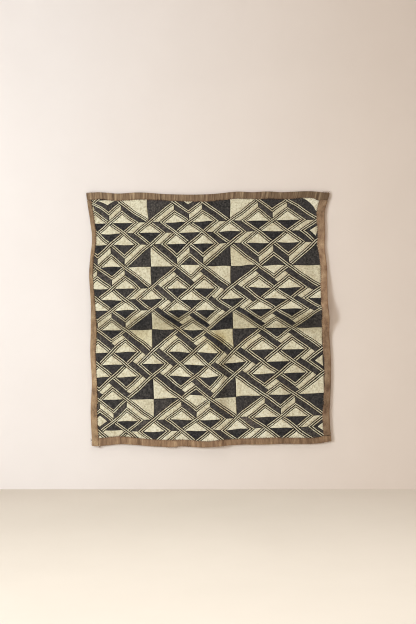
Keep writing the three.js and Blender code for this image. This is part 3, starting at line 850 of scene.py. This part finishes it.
# Where the cream has stayed clean, and where the black has faded or kept; the black also turns lighter to the left,
# darker to the right, and darker in painted shade along the middle fold: x, z, change, across, down
CLEAN = [
    (-19, -220, 0.12, 28, 18), (208, -258, 0.12, 28, 18), (-19, -447, 0.14, 28, 18), (94, -522, 0.2, 34, 22), (-75, -522, 0.14, 28, 20),
    (-132, -560, 0.16, 40, 22), (151, -296, 0.12, 28, 18), (20, -560, 0.1, 60, 24), (80, -570, 0.2, 60, 20), (20, -580, 0.2, 220, 16), (250, -18, 0.3, 24, 18), (-252, -505, 0.14, 22, 18),
]
FADES_AND_FOLD_SHADE = [
    (84, -544, 0.85, 26, 20), (130, -505, 0.3, 40, 36), (-250, -190, 0.14, 90, 200), (-150, -540, 0.1, 120, 60),
    (235, -400, -0.12, 90, 130), (200, -110, -0.08, 90, 60), (-24, -442, 0.2, 26, 20), (0, -290, -0.1, 220, 26),
    (-165, -306, -0.25, 24, 20), (85, -345, -0.25, 26, 20), (78, -197, -0.2, 26, 20), (-104, -508, 0.25, 26, 20), (35, -461, 0.15, 24, 20),
    (-220, -250, 0.15, 40, 20), (92, -100, 0.15, 40, 30), (-130, -92, 0.15, 36, 24),
    (8, -336, -0.3, 34, 34), (-60, -300, -0.28, 150, 12), (160, -292, -0.28, 70, 12), (-245, -520, 0.2, 30, 24), (151, -305, -0.16, 30, 18), (226, -31, -0.15, 30, 20), (-150, -330, -0.12, 40, 20),
]


# change to a patch's tone: wear, and on the black painted shade along the middle fold
def wear_and_fold_shade(x, z, tone):
    change = np.zeros_like(x)
    for x0, z0, by, across, down in FADES_AND_FOLD_SHADE if tone == DARK else CLEAN:
        change = change + by * np.exp(-((x - x0) / across) ** 2 - ((z - z0) / down) ** 2)
    return change


def patches(tone):
    verts, tris, tones, count = [], [], [], 0
    for k, (t, poly, shade) in enumerate(ALL_FILLS):
        if t != tone:
            continue
        pts, tri = patch_mesh(poly)
        x, z = chart(pts[:, 0], pts[:, 1])
        ok = inside(x, z, 8.0)
        if not ok.any():
            continue
        e = edge_gap(poly, pts)
        lift = crown(e, PILE[tone] + (0.45 if poly is CORNER else 0)) + 0.12 * LUMPS(x, z)
        tri = tri[ok[tri].all(1)]
        if not len(tri):
            continue
        verts.append(place(x, z, lift))
        tris.append(tri + count)
        own = 0.5 + shade + np.random.default_rng(500 + k).uniform(-VARY[tone], VARY[tone])
        # painted shade: each patch's outer half millimetre, beside the bands, is darker
        tones.append(np.clip(own + wear_and_fold_shade(x, z, tone) - 0.12 * (e < 0.5), 0, 1))
        count += len(x)
    verts = np.concatenate(verts)
    return verts, to_front(verts, np.concatenate(tris)), np.concatenate(tones)


def tufts(tone, spacing):
    pts, gaps, own = [], [], []
    for k, (t, poly, shade) in enumerate(ALL_FILLS):
        if t != tone:
            continue
        p = scatter(poly, spacing, 900 + k)
        if tone == DARK and len(p):
            p = p[edge_gap(CORNER, p) == 0]
        if len(p):
            pts.append(p)
            gaps.append(edge_gap(poly, p))
            own.append(np.full(len(p), shade + np.random.default_rng(500 + k).uniform(-VARY[tone], VARY[tone])))
    pts, gaps, own = np.concatenate(pts), np.concatenate(gaps), np.concatenate(own)
    x, z = chart(pts[:, 0], pts[:, 1])
    ok = inside(x, z, 2.5)
    x, z, gaps, own = x[ok], z[ok], gaps[ok], own[ok]
    n = len(x)
    r = np.random.default_rng(77 + tone)
    base = crown(gaps, PILE[tone]) + 0.12 * LUMPS(x, z)
    turn = r.uniform(0, 2 * np.pi, n)
    near = smooth(0.3, 1.8, gaps)
    wide_ = r.uniform(0.5, 0.72, n) * spacing * mix(0.55, 1.0, near)
    lean = r.uniform(0.1, 0.75, n) * mix(0.4, 1.0, near)
    lean_to = r.uniform(0, 2 * np.pi, n)
    tall_ = r.uniform(0.3, 0.8, n)
    vx, vz, vl = [], [], []
    for k in range(3):
        a = turn + k * 2 * np.pi / 3
        vx.append(x + np.cos(a) * wide_)
        vz.append(z + np.sin(a) * wide_)
        vl.append(base - 0.35)
    vx.append(x + np.cos(lean_to) * lean)
    vz.append(z + np.sin(lean_to) * lean - 0.15)
    vl.append(base + tall_)
    vx, vz, vl = (np.stack(a, -1).ravel() for a in (vx, vz, vl))
    verts = place(vx, vz, vl)
    b = np.arange(n)[:, None] * 4
    tris = np.concatenate([b + np.array([[k, 3, (k + 1) % 3]]) for k in range(3)])
    tip = 0.5 + own + wear_and_fold_shade(x, z, tone) + r.normal(0, 0.13, n)
    # painted shade and light: each tuft's foot is darker and its tip lighter
    tones = np.stack([tip - 0.16] * 3 + [tip + 0.05], -1).ravel()
    return verts, to_outside(verts, tris, 4), np.clip(tones, 0, 1)


# =====================================================================
# Bands: stem-stitched cords
# =====================================================================
def band_lines():
    """Straight runs of every band: two ends on the lattice, the way out
    of its frame, and the stretches where another band lies over it."""
    runs = []
    for col, row in GROUPS:
        c = np.array(at(col, row))
        for hp, hq, cross, kind in ((FRAME_SHORT, FRAME_LONG, FRAME_SHORT, "A"), (FRAME_LONG, FRAME_SHORT, FRAME_SHORT, "B"),
                                    (SQUARE, SQUARE, L - SQUARE, "Q")):
            for sg in (1, -1):
                under_p = under_q = []
                if kind == "A":
                    under_p = [sg * cross]
                elif kind == "B":
                    under_q = [-sg * cross]
                else:
                    under_p, under_q = [-sg * cross], [sg * cross]
                runs.append((c, np.array([sg * hp, 0.0]), np.array([0.0, 1.0]), hq, np.array([sg, 0.0]), under_p))
                runs.append((c, np.array([0.0, sg * hq]), np.array([1.0, 0.0]), hp, np.array([0.0, sg]), under_q))
    return runs


def stitches(offsets, pitch, length, width, height, slant, seed, base=0.1):
    """Slanting stitches along every band, offset from its middle."""
    r = np.random.default_rng(seed)
    mids, ways, outs, shade = [], [], [], []
    for c, mid, way, half, out, under in band_lines():
        dull = r.normal(0, 0.07)  # each run was worked with its own bundle
        for off in offsets:
            span = half + off
            n = max(2, int(round(2 * span * UNIT / pitch)))
            s = (np.arange(n) + 0.5) / n * 2 * span - span
            s = s + r.uniform(-0.15, 0.15, n) * pitch / UNIT
            keep = np.ones(n, bool)
            for place_ in under:
                keep &= np.abs(s - place_) > BAND + 0.062
            s = s[keep]
            mids.append(c + mid + out * off + way * s[:, None])
            ways.append(np.repeat(way[None], len(s), 0))
            outs.append(np.repeat(out[None] * (1 if way[1] else -1), len(s), 0))
            shade.append(np.full(len(s), dull + r.normal(0, 0.03)))
    mids, ways, outs, shade = np.concatenate(mids), np.concatenate(ways), np.concatenate(outs), np.concatenate(shade)
    x, z = chart(mids[:, 0], mids[:, 1])
    ok = inside(x, z, 5.0)
    mids, ways, outs, shade = mids[ok], ways[ok], outs[ok], shade[ok]
    n = len(mids)
    half = r.uniform(0.85, 1.12, n)[:, None] * length / 2 / UNIT
    tilt = (slant + r.normal(0, 0.05, n))[:, None]
    e0 = mids - ways * half - outs * tilt * half
    e1 = mids + ways * half + outs * tilt * half
    x0, z0 = chart(e0[:, 0], e0[:, 1])
    x1, z1 = chart(e1[:, 0], e1[:, 1])
    ax, az = x1 - x0, z1 - z0
    ln = np.hypot(ax, az)
    nx, nz = -az / ln, ax / ln
    w = r.uniform(0.85, 1.15, n) * width / 2
    h = r.uniform(0.85, 1.15, n) * height
    vx, vz, vl = [x0], [z0], [np.full(n, base)]
    for f in (0.28, 0.72):
        for side, up in ((-1, 0.25), (0, 1.0), (1, 0.25)):
            vx.append(x0 + ax * f + nx * w * side)
            vz.append(z0 + az * f + nz * w * side)
            vl.append(base + h * up)
    vx.append(x1); vz.append(z1); vl.append(np.full(n, base))
    vx, vz, vl = (np.stack(a, -1).ravel() for a in (vx, vz, vl))
    tri = np.array([(0, 2, 1), (0, 3, 2), (1, 2, 5), (1, 5, 4), (2, 3, 6), (2, 6, 5), (4, 5, 7), (5, 6, 7)])[:, ::-1]
    tris = (np.arange(n)[:, None, None] * 8 + tri[None]).reshape(-1, 3)
    tones = np.repeat(np.clip(shade + r.normal(0.52, 0.1, n), 0, 1), 8)
    verts = place(vx, vz, vl)
    return verts, to_front(verts, tris), tones


# =====================================================================
# Binding strips, folded over the edges
# =====================================================================
def strip_place(side, s, a, lift):
    """Point a mm in from the outer edge, at s along a side."""
    if side == "top":
        u, v = s, a / tall(s)
    elif side == "bottom":
        u, v = s, 1 - a / tall(s)
    elif side == "left":
        u, v = a / wide(s), s
    else:
        u, v = 1 - a / wide(s), s
    x, z = face(u, v)
    return np.stack([x, -(depth(u, v) + creases(u, v) + lift + 0.25 * SLACK(x, z)), z], -1) * MM


TABLE = {"top": TOP_EDGE, "bottom": BOTTOM_EDGE, "left": LEFT_EDGE, "right": RIGHT_EDGE}
SPAN = {"top": WIDTH, "bottom": WIDTH, "left": HEIGHT, "right": HEIGHT}
ENDS = {
    "top": (0.0, 1.0),
    "left": ((TOP_EDGE[0, 2] + 0.5) / tall(np.array(0.0)), 1.0),
    "bottom": ((LEFT_EDGE[-1, 2] + 0.5) / wide(np.array(1.0)), 1.0),
    "right": ((TOP_EDGE[-1, 2] + 0.5) / tall(np.array(1.0)), 1 - (BOTTOM_EDGE[-1, 2] + 0.5) / tall(np.array(1.0))),
}
SEED = {"top": 1, "bottom": 2, "left": 3, "right": 4}
PUCKER = {"top": 1.0, "bottom": 0.7, "left": 0.3, "right": 0.3}  # how far each strip is gathered by its sewing
# How pale each strip is along its length, with painted shade at the left strip's top end where it meets the top strip:
# at, share
PALE_AND_JOIN_SHADE = {
    "top": np.array([(0.0, 1.12), (0.3, 1.08), (0.55, 0.95), (0.8, 0.85), (0.93, 0.80), (1.0, 0.84)]),
    "bottom": np.array([(0.0, 1.0), (0.2, 1.10), (0.5, 1.12), (0.8, 0.95), (1.0, 0.95)]),
    "left": np.array([(0.0, 0.70), (0.05, 0.84), (0.12, 0.98), (0.5, 1.05), (0.72, 1.28), (1.0, 1.15)]),
    "right": np.array([(0.0, 0.95), (0.15, 1.12), (0.4, 1.32), (0.55, 1.04), (0.75, 0.86), (1.0, 0.80)]),
}


def binding(side):
    r = np.random.default_rng(40 + SEED[side])
    s0, s1 = ENDS[side]
    n = int((s1 - s0) * SPAN[side] / 2.2)
    s = np.linspace(s0, s1, n)
    mm = s * SPAN[side]
    pucker = np.interp(mm, np.arange(0, 700, 5.2) + r.uniform(-1.2, 1.2, 135), np.where(np.arange(135) % 2, 1.0, -1.0) * r.uniform(0.3, 1.0, 135))
    pucker = pucker * PUCKER[side]
    drift = np.interp(mm, np.arange(0, 700, 14), r.normal(0, 1, 50))
    width = along(TABLE[side], WIDE, s) + 0.5 * drift + 0.35 * pucker
    curl = np.exp(-((s - 0.962) / 0.016) ** 2) if side == "top" else np.zeros(n)
    width = width + 4.5 * curl
    # section, from the front leaf's free edge round the fold to the back one's
    share = np.concatenate([[1.0, 0.985, 0.94, 0.86, 0.74, 0.6, 0.46, 0.32, 0.2, 0.12]])
    m = len(share)
    nose = np.radians([62, 35, 12, -12, -35, -62])
    outer_a = np.concatenate([width[:, None] * share, np.repeat(1.9 * (1 - np.cos(nose))[None], n, 0) + 0.0,
                              width[:, None] * 0.95 * share[::-1]], 1)
    lift_front = np.array([1.35, 1.75, 2.05, 2.2, 2.25, 2.25, 2.25, 2.2, 2.12, 1.95])
    outer_b = np.concatenate([np.repeat(lift_front[None], n, 0), np.repeat((2.05 * np.sin(nose))[None], n, 0),
                              np.repeat((-lift_front[::-1] - 0.1)[None], n, 0)], 1)
    wrinkle = np.concatenate([0.28 * (share ** 2), np.full(len(nose), 0.06), -0.2 * share[::-1] ** 2])
    outer_b = outer_b + curl[:, None] * np.concatenate([2.6 * np.maximum(0, share - 0.45), 0 * nose, 0 * share])[None]
    outer_b = outer_b + pucker[:, None] * wrinkle[None] + (r.normal(0, 0.05, outer_b.shape))
    # inner side, a leaf's thickness away
    inner_a = np.concatenate([width[:, None] * share, np.repeat((0.9 + 0.9 * (1 - np.cos(nose)))[None], n, 0),
                              width[:, None] * 0.95 * share[::-1]], 1)
    thick = np.concatenate([np.array([0.5, 0.7, 0.8, 0.85] + [0.85] * (m - 4)), 1.0 + 0 * nose, np.array([0.85] * (m - 4) + [0.85, 0.8, 0.7, 0.5])])
    sign = np.sign(np.concatenate([np.ones(m), np.sin(nose), -np.ones(m)]))
    inner_b = outer_b - sign[None] * thick[None]
    k = outer_a.shape[1]
    ss = np.repeat(s[:, None], k, 1)
    outer = strip_place(side, ss.ravel(), outer_a.ravel(), outer_b.ravel())
    inner = strip_place(side, ss.ravel(), inner_a.ravel(), inner_b.ravel())
    verts = np.concatenate([outer, inner])
    N = n * k
    flip = side in ("top", "right")
    tris = [grid_tris(n, k, 0, flip), grid_tris(n, k, N, not flip)]
    i = np.arange(n - 1)

    def wall(a, b, c, d, turn):
        q = np.stack([a, b, c, d], -1)
        if turn:
            q = q[:, ::-1]
        return [q[:, [0, 1, 2]], q[:, [0, 2, 3]]]
    tris += wall(i * k, N + i * k, N + (i + 1) * k, (i + 1) * k, flip)
    e = k - 1
    tris += wall(i * k + e, (i + 1) * k + e, N + (i + 1) * k + e, N + i * k + e, flip)
    j = np.arange(k - 1)
    tris += wall(j, j + 1, N + j + 1, N + j, flip)
    last = (n - 1) * k
    tris += wall(last + j, N + last + j, N + last + j + 1, last + j + 1, flip)
    # unrolled coordinates: along, and across from one free edge to the other
    across = np.concatenate([(1 - share) * 17, 17 + 3.2 * np.linspace(0, 1, len(nose)), 20.2 + share * 0 + (1 - share[::-1][0]) * 0 + np.cumsum(np.abs(np.diff(np.concatenate([[share[-1]], share[::-1]])))) * 17])
    strip = np.stack([np.repeat(mm[:, None], k, 1).ravel() * MM, np.repeat(across[None], n, 0).ravel() * MM], -1)
    uvo = np.stack([strip[:, 0] / 0.62 * 0.98 + 0.01, strip[:, 1] / 0.042 * 0.48 + 0.01], -1)
    uv = np.concatenate([uvo, uvo + [0, 0.5]])
    pale = np.repeat((along(PALE_AND_JOIN_SHADE[side], 1, s) + 0.05 * drift)[:, None], k, 1)
    pale = pale * np.where(np.arange(k) < 3, 0.86, 1.0)  # the three rows at the sewn inner edge are darker
    return make("binding_" + side + "_strip", verts, np.concatenate(tris), [binding_mats[side]],
                np.concatenate([pale.ravel(), pale.ravel()]), uv, None, np.concatenate([strip, strip]))


def oversewing():
    """Slanting stitches over the binding's inner edge, on both faces."""
    X, lifts, own = [], [], []
    r = np.random.default_rng(64)
    verts, tris, tones, count = [], [], [], 0
    for side in ("top", "left", "bottom", "right"):
        s0, s1 = ENDS[side]
        n = int((s1 - s0) * SPAN[side] / 4.6)
        s = s0 + (np.arange(n) + 0.5) / n * (s1 - s0) + r.uniform(-0.2, 0.2, n) * 4.6 / SPAN[side]
        w = along(TABLE[side], WIDE, np.clip(s, 0, 1))
        keep = np.ones(n, bool)
        if side in ("top", "bottom"):
            keep = (s > 0.03) & (s < 0.965)
        else:
            keep = (s > 0.035) & (s < 0.965)
        s, w = s[keep], w[keep]
        n = len(s)
        slant = r.uniform(0.6, 2.2, n) / SPAN[side]
        reach_in, reach_out = r.uniform(1.2, 2.6, n), r.uniform(2.2, 4.0, n)
        half = r.uniform(0.4, 0.6, n) / SPAN[side]
        for front in (1, -1):
            ring = []
            for f, up in ((0.0, 0.0), (0.3, 1.0), (0.7, 1.0), (1.0, 0.0)):
                a = w + mix(reach_in, -reach_out, f)
                top = np.where(a > w, 1.5, 2.35) + 0.45 * up - 0.25 * (1 - up)
                for across, low in ((-1, 0.45), (0, 0.0), (1, 0.45)):
                    ring.append(strip_place(side, np.clip(s + slant * (f - 0.5) * 2 + half * across * (0.35 + 0.65 * up), 0, 1), a,
                                            front * (top - low) - (0.15 if front < 0 else 0)))
            block = np.stack(ring, 1)
            tri = []
            for k in range(3):
                for j in range(2):
                    a = k * 3 + j
                    tri += [(a, a + 1, a + 4), (a, a + 4, a + 3)]
            tri = np.array(tri)
            if (front < 0) ^ (side in ("bottom", "left")):
                tri = tri[:, ::-1]
            verts.append(block.reshape(-1, 3))
            tris.append((np.arange(n)[:, None, None] * 12 + tri[None]).reshape(-1, 3) + count)
            tones.append(np.repeat(np.clip(r.normal(0.45, 0.18, n), 0, 1), 12))
            count += n * 12
    return make("binding_oversewing", np.concatenate(verts), np.concatenate(tris), [sewing_mat], np.concatenate(tones))


# Loose ends: side, at, how many, how far they spread along the edge (mm),
# length, and 1 on the outer edge or 0 on the sewn edge
FRAYS = [
    ("bottom", 0.50, 150, 300, 3.0, 1), ("top", 0.50, 60, 300, 2.4, 1), ("left", 0.5, 70, 320, 2.6, 1), ("right", 0.5, 60, 320, 2.4, 1),
    ("bottom", 0.015, 34, 9, 5.5, 1), ("bottom", 0.335, 40, 14, 5.0, 1), ("bottom", 0.15, 30, 16, 4.5, 0), ("bottom", 0.335, 34, 12, 4.5, 0),
    ("top", 0.985, 30, 7, 5.0, 1), ("top", 0.012, 26, 7, 4.5, 1), ("left", 0.985, 24, 8, 5.0, 1), ("bottom", 0.72, 18, 26, 3.6, 0),
    ("left", 0.12, 40, 60, 4.0, 0), ("left", 0.42, 30, 90, 3.6, 0), ("right", 0.3, 24, 120, 3.4, 0),
]


def frayed():
    """Loose raffia fibres at the binding's edges."""
    r = np.random.default_rng(83)
    verts, tris, tones, count = [], [], [], 0
    for side, where, n, spread, length, outer in FRAYS:
        s0, s1 = ENDS[side]
        s = np.clip(where + r.uniform(-1, 1, n) * spread / SPAN[side], s0 + 0.002, s1 - 0.002)
        w = along(TABLE[side], WIDE, s)
        long = r.uniform(0.5, 1.3, n) * length
        start = np.where(outer, 1.2, w - 1.0)
        way = np.where(outer, -1.0, 1.0)
        swing, half = r.uniform(-0.9, 0.9, n), r.uniform(0.14, 0.24, n)
        front = np.where(outer, r.uniform(-1.2, 1.6, n), 2.2)
        ring = []
        for f in (0.0, 0.35, 0.7, 1.0):
            a = start + way * long * f
            b = front + np.where(outer, -0.5, 0.2) * f * f + 0.5 * np.sin(f * 3.1) * swing
            for across in (-1, 1):
                t = s + (swing * long * f * f + across * half * (1 - 0.8 * f)) / SPAN[side]
                ring.append(strip_place(side, np.clip(t, 0, 1), a, b + (0.12 if across > 0 else -0.12)))
        block = np.stack(ring, 1)
        tri = np.array([(k * 2 + i, k * 2 + j, k * 2 + m) for k in range(3) for i, j, m in ((0, 1, 3), (0, 3, 2))])
        tri = (np.arange(n)[:, None, None] * 8 + tri[None]).reshape(-1, 3)
        tris.append(to_front(block.reshape(-1, 3), tri) + count)
        verts.append(block.reshape(-1, 3))
        tones.append(np.repeat(np.clip(r.normal(0.62, 0.2, n), 0, 1), 8))
        count += n * 8
    return make("binding_fray", np.concatenate(verts), np.concatenate(tris), [sewing_mat], np.concatenate(tones))


# =====================================================================
# Build
# =====================================================================
cloth = ground()
pieces = []


def built(name, data, mat):
    verts, tris, tones = data
    ob = make(name, verts, tris, [mat], tones)
    pieces.append(ob)
    return ob


built("pile_cream", patches(LIGHT), light_pile)
built("pile_black", patches(DARK), dark_pile)
built("tufts_cream", tufts(LIGHT, 1.75), light_pile)
built("tufts_black", tufts(DARK, 1.75), dark_pile)
built("cords_cream", stitches((-CORD, CORD), 2.1, 5.8, 1.85, 1.4, 0.11, 5), light_cord)
built("cords_black", stitches((0.0,), 2.4, 5.4, 1.4, 0.8, -0.09, 6), dark_cord)
sewing = oversewing()
pieces.append(sewing)
fray = frayed()
pieces.append(fray)
strips = {side: binding(side) for side in ("top", "bottom", "left", "right")}

for ob in [cloth] + pieces + list(strips.values()):
    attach(ob, "root")
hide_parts("panel")
for side, ob in strips.items():
    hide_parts("binding_" + side)

# =====================================================================
# Stage, light and camera
# =====================================================================
FLOOR_Z = -0.702


def plane(name, corners, mat):
    me = bpy.data.meshes.new(name)
    me.from_pydata(corners, [], [(0, 1, 2, 3)])
    ob = bpy.data.objects.new(name, me)
    me.materials.append(mat)
    bpy.context.scene.collection.objects.link(ob)
    return ob


def pale_paint_with_side_light(name, rgb, rgb_right_painted_light):
    """Pale paint, changing from left to right; on the wall this change is painted light, warmer and a little darker to
    the right.
    """
    m, nt, b = material(name, 0.9, 0.0, 0.2)
    here = node(nt, "ShaderNodeTexCoord").outputs["Object"]
    axes = node(nt, "ShaderNodeSeparateXYZ")
    nt.links.new(here, axes.inputs[0])
    side = node(nt, "ShaderNodeMapRange")
    nt.links.new(axes.outputs[0], side.inputs["Value"])
    side.inputs["From Min"].default_value, side.inputs["From Max"].default_value = -0.35, 0.4
    paint = ramp(nt, side.outputs[0], [(0.0, rgb), (1.0, rgb_right_painted_light)])
    soft = ramp(nt, noise(nt, here, 5.0, 4), [(0.3, (0.97, 0.968, 0.965)), (0.7, (1, 1, 1))])
    nt.links.new(blend(nt, "MULTIPLY", 1.0, paint, soft), b.inputs["Base Color"])
    return m, nt, b


floor_mat, _, _ = pale_paint_with_side_light("stage_floor", (0.865, 0.84, 0.775), (0.865, 0.84, 0.775))
# painted light: the wall turns warmer and a little darker to the right
wall_mat, nt, b = pale_paint_with_side_light("stage_wall", (0.885, 0.86, 0.855), (0.875, 0.815, 0.765))
# seen from behind, the backdrop is clear, so the cloth's back shows
clear = node(nt, "ShaderNodeBsdfTransparent")
behind = node(nt, "ShaderNodeNewGeometry").outputs["Backfacing"]
swap = node(nt, "ShaderNodeMixShader")
nt.links.new(behind, swap.inputs[0])
nt.links.new(b.outputs[0], swap.inputs[1])
nt.links.new(clear.outputs[0], swap.inputs[2])
nt.links.new(swap.outputs[0], nt.nodes["Material Output"].inputs["Surface"])

floor = plane("stage_floor", [(-5, -5, FLOOR_Z), (5, -5, FLOOR_Z), (5, 5, FLOOR_Z), (-5, 5, FLOOR_Z)], floor_mat)
wall = plane("stage_wall", [(-1.3, 0.001, FLOOR_Z), (1.3, 0.001, FLOOR_Z), (1.3, 0.001, 1.1), (-1.3, 0.001, 1.1)], wall_mat)
wall.visible_shadow = wall.visible_diffuse = wall.visible_glossy = wall.visible_transmission = False


def area_light(name, where, target, size, power, rgb):
    data = bpy.data.lights.new(name, "AREA")
    data.shape = "DISK"
    data.size = size
    data.energy = power
    data.color = rgb
    ob = bpy.data.objects.new(name, data)
    ob.location = where
    ob.rotation_mode = "QUATERNION"
    ob.rotation_quaternion = (Vector(target) - Vector(where)).to_track_quat("-Z", "Y")
    bpy.context.scene.collection.objects.link(ob)
    return ob


area_light("key", (-1.9, -1.75, 0.2), (0.0, 0.0, -0.3), 0.9, 39.5, (0.92, 0.975, 1.0))
overhead = area_light("overhead", (0.0, -1.0, 1.3), (0.0, -1.0, -1.0), 1.3, 5.0, (1.0, 0.97, 0.92))
overhead.data.spread = math.radians(75)
area_light("behind", (0.6, 2.4, 0.9), (0.0, 0.0, -0.3), 1.6, 8, (1.0, 0.97, 0.93))

world = bpy.data.worlds.new("studio")
world.use_nodes = True
world.node_tree.nodes["Background"].inputs["Color"].default_value = (1.0, 0.75, 0.57, 1)
world.node_tree.nodes["Background"].inputs["Strength"].default_value = 0.39
bpy.context.scene.world = world
bpy.context.scene.view_settings.view_transform = "Standard"
# keep the thin stitched lines: a tight pixel filter, and the clean-up takes
# the materials' own detail as it is
bpy.context.scene.cycles.filter_width = 1.1
bpy.context.scene.cycles.denoising_prefilter = "NONE"

LENS, FRAME_H = 50.0, 0.624 * 2.36  # the photograph's frame is 624 px of 2.36 mm
cam_data = bpy.data.cameras.new("camera")
cam_data.lens = LENS
cam_data.sensor_width = 36.0
cam = bpy.data.objects.new("camera", cam_data)
cam.location = (-0.0047, -(0.008 + FRAME_H * LENS / 36.0), -0.2818)
cam.rotation_euler = (math.radians(90), 0, 0)
bpy.context.scene.collection.objects.link(cam)
bpy.context.scene.camera = cam

bpy.context.view_layer.update()
for ob in [cloth] + pieces + list(strips.values()):
    print(ob.name, len(ob.data.polygons), "tris")
